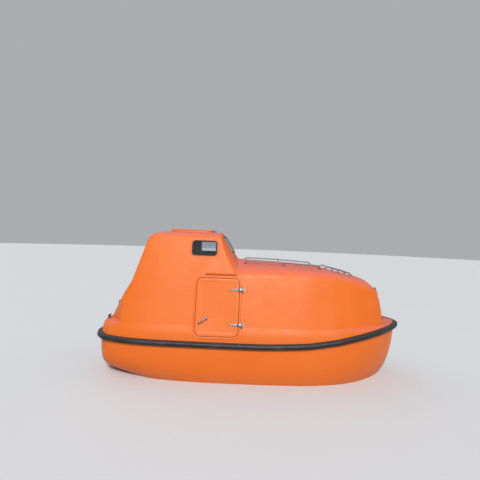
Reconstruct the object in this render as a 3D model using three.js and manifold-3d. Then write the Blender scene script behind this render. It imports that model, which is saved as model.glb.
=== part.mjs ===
// Totally enclosed lifeboat, five metres long, afloat.
// Millimetres. +X to the bow, +Y to port, +Z up, origin amidships on the centreline at the waterline.

import * as THREE from 'three';
import { mergeVertices } from 'three/addons/utils/BufferGeometryUtils.js';
import Module from 'manifold-3d';

const wasm = await Module();
wasm.setup();

// Driving dimensions
const HULL_WALL = 40;
const CANOPY_WALL = 32;
const SEAM = 0.3;
const TUMBLEHOME = 0.25;
const SKEG_WIDTH = 90;
const SKEG_BOTTOM = -540;
const SKEG_END = -1860;
const SKEG_FORE = 1250;
const SKEG_TIP = 1600;
const SHAFT_HEIGHT = -270;
const PROPELLER_X = -2150;
const PROPELLER_RADIUS = 150;
const NOZZLE_RADIUS = 165;
const SOLE_HEIGHT = -130;
const PLATFORM_HEIGHT = 800;
const BENCH_HEIGHT = 305;

// Lines of the hull: x, half breadth at the rail, height of the rail, height of the bottom,
// fullness of the section
const HULL_LINES = [
  [-2500, 560, 640, 60, 2.4],
  [-2440, 745, 639, 40, 2.4],
  [-2287, 915, 636, 8, 2.4],
  [-1855, 1020, 624, -115, 2.3],
  [-1520, 1038, 618, -240, 2.2],
  [-563, 1040, 607, -405, 2.2],
  [0, 1040, 605, -430, 2.2],
  [700, 1038, 632, -430, 2.1],
  [1200, 1000, 692, -410, 1.9],
  [1600, 905, 761, -360, 1.7],
  [1900, 765, 807, -270, 1.5],
  [2130, 590, 833, -130, 1.4],
  [2300, 405, 842, 30, 1.3],
  [2400, 262, 844, 280, 1.25],
  [2440, 185, 844, 450, 1.2],
  [2475, 100, 842, 690, 1.2],
  [2492, 45, 840, 800, 1.2],
];

// Canopy: x, half breadth at the foot, side height, crown height, corner size, ledge height,
// width of the sloping rim
const CANOPY_LINES = [
  [-2500, 430, 741, 742, 1, 740, 60],
  [-2440, 560, 846, 847, 1, 845, 110],
  [-2390, 600, 869, 870, 1, 868, 120],
  [-2335, 600, 871, 872, 1, 870, 115],
  [-2287, 660, 1012, 1036, 60, 870, 100],
  [-2190, 800, 1182, 1212, 80, 870, 80],
  [-2100, 930, 1345, 1374, 100, 870, 60],
  [-2008, 968, 1510, 1541, 110, 870, 54],
  [-1860, 986, 2022, 2050, 100, 870, 54],
  [-1805, 986, 2200, 2225, 90, 870, 54],
  [-1775, 986, 2245, 2262, 80, 870, 54],
  [-1735, 986, 2268, 2286, 70, 870, 54],
  [-1690, 986, 2278, 2300, 70, 870, 54],
  [-1610, 986, 2285, 2315, 80, 870, 54],
  [-1520, 986, 2288, 2325, 90, 870, 54],
  [-600, 986, 2288, 2325, 90, 870, 54],
  [-563, 986, 2177, 2267, 100, 870, 54],
  [-500, 986, 2028, 2168, 120, 870, 54],
  [-400, 986, 1846, 2011, 150, 870, 54],
  [-310, 986, 1735, 1870, 170, 870, 54],
  [-200, 986, 1735, 1865, 130, 870, 54],
  [0, 986, 1735, 1860, 120, 870, 54],
  [700, 985, 1735, 1826, 120, 870, 54],
  [1200, 938, 1706, 1772, 120, 872, 54],
  [1400, 885, 1668, 1722, 115, 875, 56],
  [1600, 822, 1616, 1680, 110, 880, 60],
  [1900, 675, 1518, 1605, 100, 885, 62],
  [2057, 570, 1400, 1493, 90, 888, 62],
  [2105, 530, 1310, 1405, 80, 889, 62],
  [2130, 505, 1130, 1210, 70, 890, 62],
  [2150, 485, 950, 990, 30, 890, 62],
  [2162, 470, 891, 892, 1, 890, 62],
  [2300, 290, 891, 892, 1, 890, 60],
  [2400, 150, 889, 890, 1, 888, 55],
  [2440, 90, 887, 888, 1, 886, 50],
  [2475, 30, 885, 886, 1, 884, 40],
  [2492, 8, 882, 883, 1, 881, 25],
];

const MATERIALS = {
  orange: new THREE.MeshStandardMaterial({ color: 0xe8541c, roughness: 0.45, metalness: 0 }),
  rubber: new THREE.MeshStandardMaterial({ color: 0x17181a, roughness: 0.8, metalness: 0 }),
  glass: new THREE.MeshStandardMaterial({ color: 0x45505a, roughness: 0.08, metalness: 0 }),
  steel: new THREE.MeshStandardMaterial({ color: 0xb9bcbd, roughness: 0.35, metalness: 0.9 }),
  bronze: new THREE.MeshStandardMaterial({ color: 0xa9793f, roughness: 0.4, metalness: 0.9 }),
  liner: new THREE.MeshStandardMaterial({ color: 0xd9d6cc, roughness: 0.6, metalness: 0 }),
  engine: new THREE.MeshStandardMaterial({ color: 0x55605c, roughness: 0.6, metalness: 0.3 }),
  black: new THREE.MeshStandardMaterial({ color: 0x202224, roughness: 0.6, metalness: 0 }),
};

const boat = new THREE.Group();

function addPiece(name, shape, material) {
  const geometry = toGeometry(solidOf(shape));
  const mesh = new THREE.Mesh(geometry, material);
  mesh.name = name;
  boat.add(mesh);
}

// Solids

// A closed solid from a geometry: shared corners are merged, faces of no area dropped and
// all faces turned out
function toSolid(geometry) {
  const plain = geometry.clone();
  plain.deleteAttribute('normal');
  plain.deleteAttribute('uv');
  const merged = mergeVertices(plain, 1e-3);
  const corners = merged.index.array;
  const kept = [];
  for (let i = 0; i < corners.length; i += 3) {
    const [a, b, c] = [corners[i], corners[i + 1], corners[i + 2]];
    if (a !== b && b !== c && c !== a) kept.push(a, b, c);
  }
  const build = (triVerts) => new wasm.Manifold(new wasm.Mesh({
    numProp: 3,
    vertProperties: new Float32Array(merged.attributes.position.array),
    triVerts: new Uint32Array(triVerts),
  }));
  const solid = build(kept);
  return solid.volume() > 0 ? solid : build(kept.reverse());
}

function toGeometry(solid) {
  const mesh = solid.getMesh();
  const geometry = new THREE.BufferGeometry();
  geometry.setAttribute('position', new THREE.BufferAttribute(mesh.vertProperties, 3));
  geometry.setIndex(new THREE.BufferAttribute(mesh.triVerts, 1));
  geometry.computeVertexNormals();
  return geometry;
}

const solidOf = (shape) => (shape instanceof THREE.BufferGeometry ? toSolid(shape) : shape);

function join(...shapes) {
  return shapes.map(solidOf).reduce((a, b) => a.add(b));
}

function cut(from, ...shapes) {
  return shapes.map(solidOf).reduce((a, b) => a.subtract(b), solidOf(from));
}

// The same geometry on the port side
function toPort(shape) {
  const geometry = toGeometry(solidOf(shape));
  geometry.scale(1, -1, 1);
  const index = geometry.index.array;
  for (let i = 0; i < index.length; i += 3) [index[i + 1], index[i + 2]] = [index[i + 2], index[i + 1]];
  geometry.computeVertexNormals();
  return geometry;
}

function block(x, y, z) {
  const geometry = new THREE.BoxGeometry(x[1] - x[0], y[1] - y[0], z[1] - z[0]);
  return geometry.translate((x[0] + x[1]) / 2, (y[0] + y[1]) / 2, (z[0] + z[1]) / 2);
}

// A round bar from one point to another
function bar(from, to, radius, sides = 10) {
  const start = new THREE.Vector3(...from);
  const way = new THREE.Vector3(...to).sub(start);
  const geometry = new THREE.CylinderGeometry(radius, radius, way.length(), sides);
  geometry.translate(0, way.length() / 2, 0);
  const turn = new THREE.Quaternion().setFromUnitVectors(new THREE.Vector3(0, 1, 0), way.normalize());
  geometry.applyQuaternion(turn);
  return geometry.translate(start.x, start.y, start.z);
}

function roundedShape(width, height, radius) {
  const [w, h] = [width / 2, height / 2];
  const shape = new THREE.Shape();
  shape.moveTo(-w + radius, -h);
  shape.absarc(w - radius, -h + radius, radius, -Math.PI / 2, 0, false);
  shape.absarc(w - radius, h - radius, radius, 0, Math.PI / 2, false);
  shape.absarc(-w + radius, h - radius, radius, Math.PI / 2, Math.PI, false);
  shape.absarc(-w + radius, -h + radius, radius, Math.PI, Math.PI * 1.5, false);
  return shape;
}

// A plate of the shape between two heights along its own Z
function plate(shape, low, high, curveSegments = 3) {
  const options = { depth: high - low, bevelEnabled: false, curveSegments };
  return new THREE.ExtrudeGeometry(shape, options).translate(0, 0, low);
}

// A plate whose outline is drawn in x and z, centred on the plane y = 0
function sidePlate(points, thickness) {
  const shape = new THREE.Shape(points.map(([x, z]) => new THREE.Vector2(x, z)));
  const geometry = new THREE.ExtrudeGeometry(shape, { depth: thickness, bevelEnabled: false });
  return geometry.rotateX(Math.PI / 2).translate(0, thickness / 2, 0);
}

// A closed surface through rings of equal point counts that lie one after another along X.
// The rings start on the centreline, and the faces of the two halves are split as mirror images.
function loft(rings) {
  const count = rings[0].length;
  const index = [];
  for (let i = 0; i + 1 < rings.length; i += 1) {
    for (let j = 0; j < count; j += 1) {
      const a = i * count + j;
      const b = i * count + ((j + 1) % count);
      if (j < count / 2) index.push(a, b, b + count, a, b + count, a + count);
      else index.push(a, b, a + count, b, b + count, a + count);
    }
  }
  const capRing = (ring, offset, reversed) => {
    const flat = ring.map(([, y, z]) => new THREE.Vector2(y, z));
    const turn = Math.sign(THREE.ShapeUtils.area(flat));
    for (const [a, b, c] of THREE.ShapeUtils.triangulateShape(flat, [])) {
      const same = Math.sign(THREE.ShapeUtils.area([flat[a], flat[b], flat[c]])) === turn;
      const [p, q] = same === reversed ? [c, b] : [b, c];
      index.push(offset + a, offset + p, offset + q);
    }
  };
  capRing(rings[0], 0, true);
  capRing(rings[rings.length - 1], (rings.length - 1) * count, false);
  const geometry = new THREE.BufferGeometry();
  geometry.setAttribute('position', new THREE.Float32BufferAttribute(rings.flat(2), 3));
  geometry.setIndex(index);
  return geometry;
}

// Hull and canopy surfaces

// Reads one column of a table of lines at a place along the boat, straight between its rows
function column(lines, name) {
  return (x) => {
    const last = lines.length - 1;
    if (x <= lines[0][0]) return lines[0][name];
    if (x >= lines[last][0]) return lines[last][name];
    const i = lines.findIndex((row) => row[0] > x);
    const [before, after] = [lines[i - 1], lines[i]];
    const share = (x - before[0]) / (after[0] - before[0]);
    return before[name] + share * (after[name] - before[name]);
  };
}

const [beamAt, railAt, bottomAt, fullnessAt] = [1, 2, 3, 4].map((name) => column(HULL_LINES, name));
const [footAt, sideAt, crownAt, cornerAt, ledgeAt, rimAt] = [1, 2, 3, 4, 5, 6].map(
  (name) => column(CANOPY_LINES, name),
);

const HULL_STATIONS = HULL_LINES.map((row) => row[0]);
const ALL_STATIONS = new Set([...HULL_STATIONS, ...CANOPY_LINES.map((row) => row[0])]);
const CANOPY_STATIONS = [...ALL_STATIONS].sort((a, b) => a - b);

// The lowest value of a line within reach fore and aft, so that a wall keeps its thickness on a slope
function lowestNear(line, x, reach) {
  return Math.min(line(x - reach), line(x), line(x + reach));
}

function mirrored(half) {
  const other = half.map(([x, y, z]) => [x, -y, z]).reverse();
  return [...half, ...other.filter(([, y]) => Math.abs(y) > 1e-6)];
}

const HULL_STEPS = 8;
const CUT_REACH = 60;

// Half section of the hull from the bottom up: a blended curve whose fullness is the exponent
function hullRing(x, inset) {
  const reach = inset * 0.7;
  const beam = lowestNear(beamAt, x, reach) - inset;
  const bottom = Math.max(bottomAt(x - reach), bottomAt(x), bottomAt(x + reach)) + inset;
  const fullness = fullnessAt(x);
  const half = [];
  for (let j = 0; j <= HULL_STEPS; j += 1) {
    const rise = (j / HULL_STEPS) ** 1.5;
    const y = beam * (1 - (1 - rise) ** (fullness + 0.8)) ** (1 / fullness);
    half.push([x, y, bottom + rise * (railAt(x) - bottom)]);
  }
  if (inset > 0) half.push([x, beam, railAt(x) + CUT_REACH]);
  return mirrored(half);
}

// Half section of the canopy: sloping rim, ledge, leaning side, rounded corner and cambered top
function canopyRing(x, inset) {
  const reach = Math.max(inset, 0) * 0.7;
  const near = (line) => (reach > 0 ? lowestNear(line, x, reach) : line(x)) - inset;
  const foundation = inset > 0 ? railAt(x) - CUT_REACH : railAt(x) + SEAM;
  const rail = near(beamAt);
  const ledge = near(ledgeAt);
  const rimTop = rail - rimAt(x);
  const foot = Math.min(near(footAt), rimTop - 0.5);
  const side = Math.max(near(sideAt), ledge + 1);
  const crown = Math.max(near(crownAt), side + 1);
  const corner = Math.min(cornerAt(x), (side - ledge) / 2);
  const edgeY = foot - TUMBLEHOME * (side - ledge);
  const camber = (y) => crown - (crown - side) * (y / edgeY) ** 2;
  const half = [
    [x, 0, crown],
    [x, edgeY * 0.35, camber(edgeY * 0.35)],
    [x, edgeY * 0.65, camber(edgeY * 0.65)],
  ];
  const arc = new THREE.QuadraticBezierCurve(
    new THREE.Vector2(edgeY - corner, camber(edgeY - corner)),
    new THREE.Vector2(edgeY, side),
    new THREE.Vector2(edgeY + TUMBLEHOME * corner, side - corner),
  );
  for (const point of arc.getPoints(3)) half.push([x, point.x, point.y]);
  half.push([x, foot, ledge]);
  half.push([x, rimTop, ledge]);
  half.push([x, rail - rimAt(x) * 0.4, railAt(x) + (ledge - railAt(x)) * 0.62]);
  half.push([x, rail, foundation]);
  return mirrored(half);
}

function body(ring, stations, inset, from, to) {
  const places = stations.filter((x) => x > from && x < to);
  return loft([from, ...places, to].map((x) => ring(x, inset)));
}

const HULL_ENDS = [-2500, 2492];
const HULL_INSIDE = [-2460, 2330];
const CANOPY_INSIDE = [-2440, 2380];

const hullOuter = (grow) => body(hullRing, HULL_STATIONS, -grow, ...HULL_ENDS);
const canopyOuter = (grow) => body(canopyRing, CANOPY_STATIONS, -grow, ...HULL_ENDS);
const hullInner = (extra) =>
  body(hullRing, HULL_STATIONS, HULL_WALL + extra, HULL_INSIDE[0] + extra, HULL_INSIDE[1] - extra);
const canopyInner = (extra) =>
  body(canopyRing, CANOPY_STATIONS, CANOPY_WALL + extra, CANOPY_INSIDE[0] + extra, CANOPY_INSIDE[1] - extra);

// Height of the canopy's top and of the hull's bottom above a point of the plan
function topHeight(x, y) {
  const edgeY = footAt(x) - TUMBLEHOME * (sideAt(x) - ledgeAt(x));
  return crownAt(x) - (crownAt(x) - sideAt(x)) * (y / edgeY) ** 2;
}

function bottomHeight(x, y) {
  const fullness = fullnessAt(x);
  const rise = 1 - (1 - (y / beamAt(x)) ** fullness) ** (1 / (fullness + 0.8));
  return bottomAt(x) + rise * (railAt(x) - bottomAt(x));
}

// Frames on the flat faces: local X along the face, local Y up its slope, local Z out of it
function faceFrame(origin, along, up) {
  const ex = new THREE.Vector3(...along).normalize();
  const ey = new THREE.Vector3(...up).normalize();
  return new THREE.Matrix4().makeBasis(ex, ey, ex.clone().cross(ey)).setPosition(...origin);
}

const SIDE_UP = [0, TUMBLEHOME, 1];
const SIDE_FOOT = 986;
const LEDGE_HEIGHT = 870;

function sideFrame(x, z) {
  return faceFrame([x, -(SIDE_FOOT - TUMBLEHOME * (z - LEDGE_HEIGHT)), z], [1, 0, 0], SIDE_UP);
}

// A frame on a face that crosses the centreline, through two points of its profile
function endFrame(low, high, y, share, facing) {
  const up = [high[0] - low[0], 0, high[1] - low[1]];
  const origin = [low[0] + share * up[0], y, low[1] + share * up[2]];
  return faceFrame(origin, [0, facing, 0], up);
}

const on = (frame, geometry) => geometry.applyMatrix4(frame);

// Openings of the canopy

const DOOR = { x: -608, z: 1162, width: 684, height: 902, radius: 95, gap: 6, proud: 8, inner: -26 };
const SIDE_WINDOW = { x: -861, z: 2062, width: 391, height: 232, radius: 45 };
const FRONT_WINDOW = { y: 245, width: 400, height: 300, radius: 50, share: 0.56, yaw: 0.075, back: 14 };
const AFT_WINDOW = { width: 460, height: 230, radius: 45, share: 0.6 };
const FORE_HATCH = { width: 420, height: 300, radius: 50, share: 0.62 };
const AFT_HATCH = { width: 520, height: 420, radius: 60, share: 0.5 };
const ROOF_HATCH = { x: -1125, length: 678, width: 600, radius: 60 };
const RIM_WIDTH = 30;
const PANE = 8;
const FRAME_PROUD = 10;

const WINDSCREEN = [[-310, 1870], [-600, 2325]];
const AFT_LOWER = [[-2287, 1036], [-2008, 1541]];
const AFT_UPPER = [[-2008, 1541], [-1805, 2225]];
const FORE_FACE = [[2150, 990], [2105, 1405]];

const doorFrame = sideFrame(DOOR.x, DOOR.z);
const sideWindowFrame = sideFrame(SIDE_WINDOW.x, SIDE_WINDOW.z);
const frontWindowFrame = endFrame(...WINDSCREEN, -FRONT_WINDOW.y, FRONT_WINDOW.share, 1)
  .multiply(new THREE.Matrix4().makeTranslation(0, 0, -FRONT_WINDOW.back))
  .multiply(new THREE.Matrix4().makeRotationY(-FRONT_WINDOW.yaw));
const aftWindowFrame = endFrame(...AFT_UPPER, 0, AFT_WINDOW.share, -1);
const foreHatchFrame = endFrame(...FORE_FACE, 0, FORE_HATCH.share, 1);
const aftHatchFrame = endFrame(...AFT_LOWER, 0, AFT_HATCH.share, -1);
const roofHatchFrame = faceFrame([ROOF_HATCH.x, 0, crownAt(ROOF_HATCH.x)], [0, -1, 0], [1, 0, 0]);

const outlineOf = (size, grow, width = size.width, height = size.height) =>
  roundedShape(width + 2 * grow, height + 2 * grow, size.radius + grow);

// The raised rim around an opening, and the hole through the wall
function rimOf(frame, size, proud, depth, width = size.width, height = size.height) {
  return on(frame, plate(outlineOf(size, RIM_WIDTH, width, height), -depth, proud));
}

function holeOf(frame, size, width = size.width, height = size.height) {
  return on(frame, plate(outlineOf(size, 0, width, height), -120, 80));
}

const COAMING = 20;
const rims = [
  rimOf(doorFrame, DOOR, DOOR.proud, CANOPY_WALL),
  rimOf(sideWindowFrame, SIDE_WINDOW, FRAME_PROUD, 20),
  rimOf(frontWindowFrame, FRONT_WINDOW, FRAME_PROUD, 34),
];
const holes = [
  holeOf(doorFrame, DOOR),
  holeOf(sideWindowFrame, SIDE_WINDOW),
  holeOf(frontWindowFrame, FRONT_WINDOW),
];
const middleRims = [
  rimOf(aftWindowFrame, AFT_WINDOW, FRAME_PROUD, 34),
  rimOf(foreHatchFrame, FORE_HATCH, COAMING, 34),
  rimOf(aftHatchFrame, AFT_HATCH, COAMING, 34),
  rimOf(roofHatchFrame, ROOF_HATCH, COAMING - 5, 34, ROOF_HATCH.width, ROOF_HATCH.length),
];
const middleHoles = [
  holeOf(aftWindowFrame, AFT_WINDOW),
  holeOf(foreHatchFrame, FORE_HATCH),
  holeOf(aftHatchFrame, AFT_HATCH),
  holeOf(roofHatchFrame, ROOF_HATCH, ROOF_HATCH.width, ROOF_HATCH.length),
];

// Lids on the coamings, each hinged at its upper or forward edge on two lugs of the canopy
const LID_GAP = 0.5;
const LID_THICKNESS = 24;
const LID_OVER = 26;
const HINGE_RADIUS = 11;
const PIN_RADIUS = 6;
const HINGE_OUT = 20;
const LUG = { width: 22, gap: 0.7, half: 12, top: 10 };

function lidParts(frame, size, coaming, spacing, width = size.width, height = size.height) {
  const low = coaming + LID_GAP;
  const axisY = height / 2 + LID_OVER + HINGE_OUT;
  const axisZ = low + LID_THICKNESS / 2;
  const lid = [plate(outlineOf(size, LID_OVER, width, height), low, low + LID_THICKNESS)];
  const lugs = [];
  for (const side of [-1, 1]) {
    const x = side * spacing;
    lid.push(bar([x - 20, axisY, axisZ], [x + 20, axisY, axisZ], HINGE_RADIUS));
    lid.push(block([x - 20, x + 20], [axisY - HINGE_OUT - 12, axisY], [low + 4, low + LID_THICKNESS - 4]));
    lid.push(bar([x - 40, axisY, axisZ], [x + 40, axisY, axisZ], PIN_RADIUS));
    for (const end of [-1, 1]) {
      const inner = x + end * (20 + LUG.gap);
      const outer = inner + end * LUG.width;
      const span = [Math.min(inner, outer), Math.max(inner, outer)];
      const lug = block(span, [axisY - LUG.half, axisY + LUG.half], [-30, axisZ + LUG.top]);
      const bore = bar([span[0] - 1, axisY, axisZ], [span[1] + 1, axisY, axisZ], PIN_RADIUS + LUG.gap, 8);
      lugs.push(on(frame, toGeometry(cut(lug, bore))));
    }
  }
  return { lid: join(...lid.map((g) => on(frame, g))), lugs };
}

const foreLid = lidParts(foreHatchFrame, FORE_HATCH, COAMING, 130);
const aftLid = lidParts(aftHatchFrame, AFT_HATCH, COAMING, 170);
const roofLid = lidParts(roofHatchFrame, ROOF_HATCH, COAMING - 5, 210, ROOF_HATCH.width, ROOF_HATCH.length);

// Canopy

function canopy() {
  const outside = [...rims, ...rims.map(toPort), ...middleRims];
  const lugs = [...foreLid.lugs, ...aftLid.lugs, ...roofLid.lugs];
  const through = [...holes, ...holes.map(toPort), ...middleHoles];
  const shell = cut(canopyOuter(0), canopyInner(0));
  const inside = toSolid(canopyInner(12));
  return cut(join(shell, cut(join(...outside), inside), cut(join(...lugs), inside)), ...through);
}

// Hull with its engine bearers, shaft bore and stock bore, and the skeg below it

const BEARER = { x: [-1400, -790], y: [140, 215], bottom: -500, top: -185 };
const TUBE_RADIUS = 31;
const SHAFT_RADIUS = 16;
const STOCK_RADIUS = 20;
const RUNNING_GAP = 0.8;
const ROUND = 24;

function shaftBore() {
  const [from, to] = [-2300, -1480];
  return bar([from, 0, SHAFT_HEIGHT], [to, 0, SHAFT_HEIGHT], TUBE_RADIUS + SEAM, ROUND);
}

function hull() {
  const outer = toSolid(hullOuter(0));
  const shell = cut(outer, hullInner(0));
  const bearer = block(BEARER.x, BEARER.y, [BEARER.bottom, BEARER.top]);
  const bearers = join(bearer, toPort(bearer)).intersect(outer);
  const stockBore = bar([PROPELLER_X, 0, -300], [PROPELLER_X, 0, 300], STOCK_RADIUS + RUNNING_GAP, ROUND);
  return cut(join(shell, bearers), shaftBore(), stockBore);
}

function skeg() {
  const places = HULL_STATIONS.filter((x) => x > SKEG_END && x < SKEG_TIP);
  const top = [SKEG_END, ...places, SKEG_TIP].map((x) => [x, bottomAt(x) + 20]);
  const fin = sidePlate([...top, [SKEG_FORE, SKEG_BOTTOM], [SKEG_END, SKEG_BOTTOM]], SKEG_WIDTH);
  return cut(fin, hullOuter(SEAM), shaftBore());
}

// The side of the rubber fender: a D section carried along the rail from the stern to the stem

const FENDER = { half: 42, depth: 72, back: 0.5 };

function fender() {
  const outline = [[HULL_ENDS[0], 0.5], [HULL_ENDS[0], 400]];
  for (const row of HULL_LINES) outline.push([row[0], row[1]]);
  outline.push([HULL_ENDS[1], 0.5]);
  const { half, depth, back } = FENDER;
  const section = [
    [back, -half], [depth * 0.55, -half], [depth * 0.9, -half * 0.7], [depth, -half * 0.25],
    [depth, half * 0.25], [depth * 0.9, half * 0.7], [depth * 0.55, half], [back, half],
  ];
  const rings = outline.map(([x, y], i) => {
    const before = outline[Math.max(i - 1, 0)];
    const after = outline[Math.min(i + 1, outline.length - 1)];
    const first = new THREE.Vector2(x - before[0], y - before[1]).normalize();
    const second = new THREE.Vector2(after[0] - x, after[1] - y).normalize();
    const along = first.clone().add(second).normalize();
    const stretch = i === 0 || i === outline.length - 1 ? 1 : 1 / along.dot(second);
    const out = new THREE.Vector2(-along.y, along.x).multiplyScalar(stretch);
    return section.map(([away, up]) => [x + out.x * away, y + out.y * away, railAt(x) + up]);
  });
  return loftAlong(rings);
}

// A closed sweep through rings in any direction, with fans at its ends
function loftAlong(rings) {
  const count = rings[0].length;
  const index = [];
  for (let i = 0; i + 1 < rings.length; i += 1) {
    for (let j = 0; j < count; j += 1) {
      const a = i * count + j;
      const b = i * count + ((j + 1) % count);
      index.push(a, b + count, b, a, a + count, b + count);
    }
  }
  const last = (rings.length - 1) * count;
  for (let j = 1; j + 1 < count; j += 1) {
    index.push(0, j, j + 1);
    index.push(last, last + j + 1, last + j);
  }
  const geometry = new THREE.BufferGeometry();
  geometry.setAttribute('position', new THREE.Float32BufferAttribute(rings.flat(2), 3));
  geometry.setIndex(index);
  return geometry;
}

// Side doors with their straps, brackets and levers

const HINGE_X = -215;
const HINGE_Z = 34;
const STRAP = { half: 22, from: -427, thickness: 6 };
const HINGE_HEIGHTS = { lower: 905, upper: 1425 };

function doorPanel() {
  const shape = outlineOf(DOOR, -DOOR.gap);
  return on(doorFrame, plate(shape, DOOR.inner, DOOR.proud, 6));
}

// A strap lies on the door's face and bends out to its knuckle and pin
function doorStrap(height) {
  const frame = sideFrame(HINGE_X, height);
  const low = DOOR.proud + SEAM;
  const tail = STRAP.from - HINGE_X;
  const flat = block([tail, -60], [-STRAP.half, STRAP.half], [low, low + STRAP.thickness]);
  const knuckle = bar([0, -STRAP.half, HINGE_Z], [0, STRAP.half, HINGE_Z], 10);
  const pin = bar([0, -STRAP.half - 16, HINGE_Z], [0, STRAP.half + 16, HINGE_Z], PIN_RADIUS);
  const arm = block([-64, 0], [-STRAP.half, STRAP.half], [HINGE_Z - 5, HINGE_Z + 4]);
  const riser = block([-70, -60], [-STRAP.half, STRAP.half], [low, HINGE_Z + 4]);
  return on(frame, toGeometry(join(flat, riser, arm, knuckle, pin)));
}

// A bracket on the canopy: base plate and two lugs that hold the pin's ends
function doorBracket(height) {
  const frame = sideFrame(HINGE_X, height);
  const parts = [block([-24, 30], [-STRAP.half - 18, STRAP.half + 18], [-20, 5])];
  for (const end of [-1, 1]) {
    const span = [end * (STRAP.half + LUG.gap), end * (STRAP.half + 18)].sort((a, b) => a - b);
    const lug = join(
      block([-12, 12], span, [0, HINGE_Z]),
      bar([0, span[0], HINGE_Z], [0, span[1], HINGE_Z], 12),
    );
    parts.push(cut(lug, bar([0, span[0] - 1, HINGE_Z], [0, span[1] + 1, HINGE_Z], PIN_RADIUS + LUG.gap)));
  }
  const bracket = on(frame, toGeometry(join(...parts)));
  const doorRim = on(doorFrame, plate(outlineOf(DOOR, RIM_WIDTH + SEAM), -40, DOOR.proud + SEAM));
  return cut(bracket, canopyOuter(SEAM), doorRim);
}

const LEVER = { from: [-907, 898], to: [-769, 987], radius: 11, boss: 26 };

function doorLever() {
  const frame = sideFrame(LEVER.to[0], LEVER.to[1]);
  const low = DOOR.proud + SEAM;
  const boss = bar([0, 0, low], [0, 0, low + 34], LEVER.boss);
  const reach = [LEVER.from[0] - LEVER.to[0], (LEVER.from[1] - LEVER.to[1]) * 1.03];
  const arm = bar([0, 0, low + 26], [reach[0], reach[1], low + 30], LEVER.radius, 10);
  const knob = new THREE.SphereGeometry(16, 8, 6).translate(reach[0], reach[1], low + 30);
  return on(frame, toGeometry(join(boss, arm, knob)));
}

// Rain gutter above the door: a lip whose underside slopes back to the wall. Its section is drawn
// up the wall and out of it.
const GUTTER = {
  x: [-825, -324],
  z: 1655,
  section: [[14, -20], [14, 36], [7, 36], [-16, 8], [-16, -20]],
};

function gutter() {
  const origin = [0, -(SIDE_FOOT - TUMBLEHOME * (GUTTER.z - LEDGE_HEIGHT)), GUTTER.z];
  const frame = faceFrame(origin, SIDE_UP, [0, -1, TUMBLEHOME]);
  const section = new THREE.Shape(GUTTER.section.map(([up, out]) => new THREE.Vector2(up, out)));
  const strip = on(frame, plate(section, ...GUTTER.x));
  return cut(strip, canopyOuter(SEAM), rimOf(doorFrame, DOOR, DOOR.proud + SEAM, CANOPY_WALL));
}

// Windows

function pane(frame, size, proud) {
  return on(frame, plate(outlineOf(size, -SEAM), proud - PANE, proud));
}

// Rails on the foredeck: a tube that follows the deck on round feet, its ends leaning down to the
// outer feet. The feet are given as x and distance from the centreline.

const RAIL = { radius: 12, lean: 46, flange: 24, proud: 6, deep: 20 };
const DECK_RAILS = {
  mid: { height: 55, feet: [[-200, 470], [464, 470], [1100, 420]] },
  fore: { height: 42, feet: [[1200, 235], [1450, 225], [1700, 210]] },
};

function deckRail({ height, feet }) {
  const last = feet.length - 1;
  const tops = feet.map(([x, y], i) => {
    const along = x + (i === 0 ? RAIL.lean : 0) - (i === last ? RAIL.lean : 0);
    return [along, -y, topHeight(along, y) + height];
  });
  const parts = [];
  for (let i = 0; i < last; i += 1) parts.push(bar(tops[i], tops[i + 1], RAIL.radius, 8));
  feet.forEach(([x, y], i) => {
    const deck = topHeight(x, y);
    parts.push(bar(tops[i], [x, -y, deck], RAIL.radius, 8));
    parts.push(bar([x, -y, deck + RAIL.proud], [x, -y, deck - RAIL.deep], RAIL.flange, 8));
  });
  return cut(join(...parts), canopyOuter(SEAM));
}

// Grab rails under the turn of the bilge, to hold when the boat is capsized

const BILGE_RAIL = { y: 760, feet: [-900, -300, 300, 900], radius: 13, out: 60 };

function bilgeRail() {
  const { y, out, feet, radius } = BILGE_RAIL;
  const place = (x) => [x, -y - out * 0.6, bottomHeight(x, y) - out * 0.8];
  const parts = [];
  for (let i = 0; i + 1 < feet.length; i += 1) {
    parts.push(bar(place(feet[i]), place(feet[i + 1]), radius, 8));
  }
  for (const x of feet) {
    const end = place(x);
    parts.push(bar(end, [x, end[1] + out * 0.84, end[2] + out * 1.12], radius - 1, 8));
  }
  return cut(join(...parts), hullOuter(SEAM));
}

// Cleats on the stern ledge

const CLEAT = { x: -2385, y: -600 };

function cleat() {
  const [x, y, z] = [CLEAT.x, CLEAT.y, ledgeAt(CLEAT.x)];
  const parts = [
    block([x - 20, x + 20], [y - 55, y + 55], [z - 12, z + 8]),
    bar([x, y - 28, z], [x, y - 28, z + 42], 11, 8),
    bar([x, y + 28, z], [x, y + 28, z + 42], 11, 8),
    bar([x, y - 80, z + 44], [x, y + 80, z + 44], 11, 8),
  ];
  return cut(join(...parts), canopyOuter(SEAM));
}

// Release hooks and the bases that carry them

const HOOK = { fore: 2250, aft: -2385, height: 96, thickness: 22, slot: 34, width: 96, pin: 10 };

const HOOK_OUTLINE = [
  [-26, -24], [-38, 10], [-36, 60], [-20, 88], [8, 98], [34, 88], [46, 62], [40, 40], [30, 44],
  [28, 62], [14, 72], [0, 68], [-8, 52], [-4, 34], [10, 24], [26, 8], [24, -18], [8, -30],
];

function hookBase(x, facing) {
  const floor = ledgeAt(x);
  const pin = floor + HOOK.height;
  const outline = [
    [-80, floor - 14], [-80, floor + 22], [-30, pin + 20], [20, pin + 20], [70, floor + 22], [70, floor - 14],
  ];
  const cheeks = sidePlate(outline.map(([dx, z]) => [x + facing * dx, z]), HOOK.width);
  const slot = block([x - 110, x + 110], [-HOOK.slot / 2, HOOK.slot / 2], [pin - 44, pin + 60]);
  const bore = bar([x, -80, pin], [x, 80, pin], HOOK.pin + LUG.gap, 20);
  return cut(cheeks, slot, bore, canopyOuter(SEAM));
}

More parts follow.
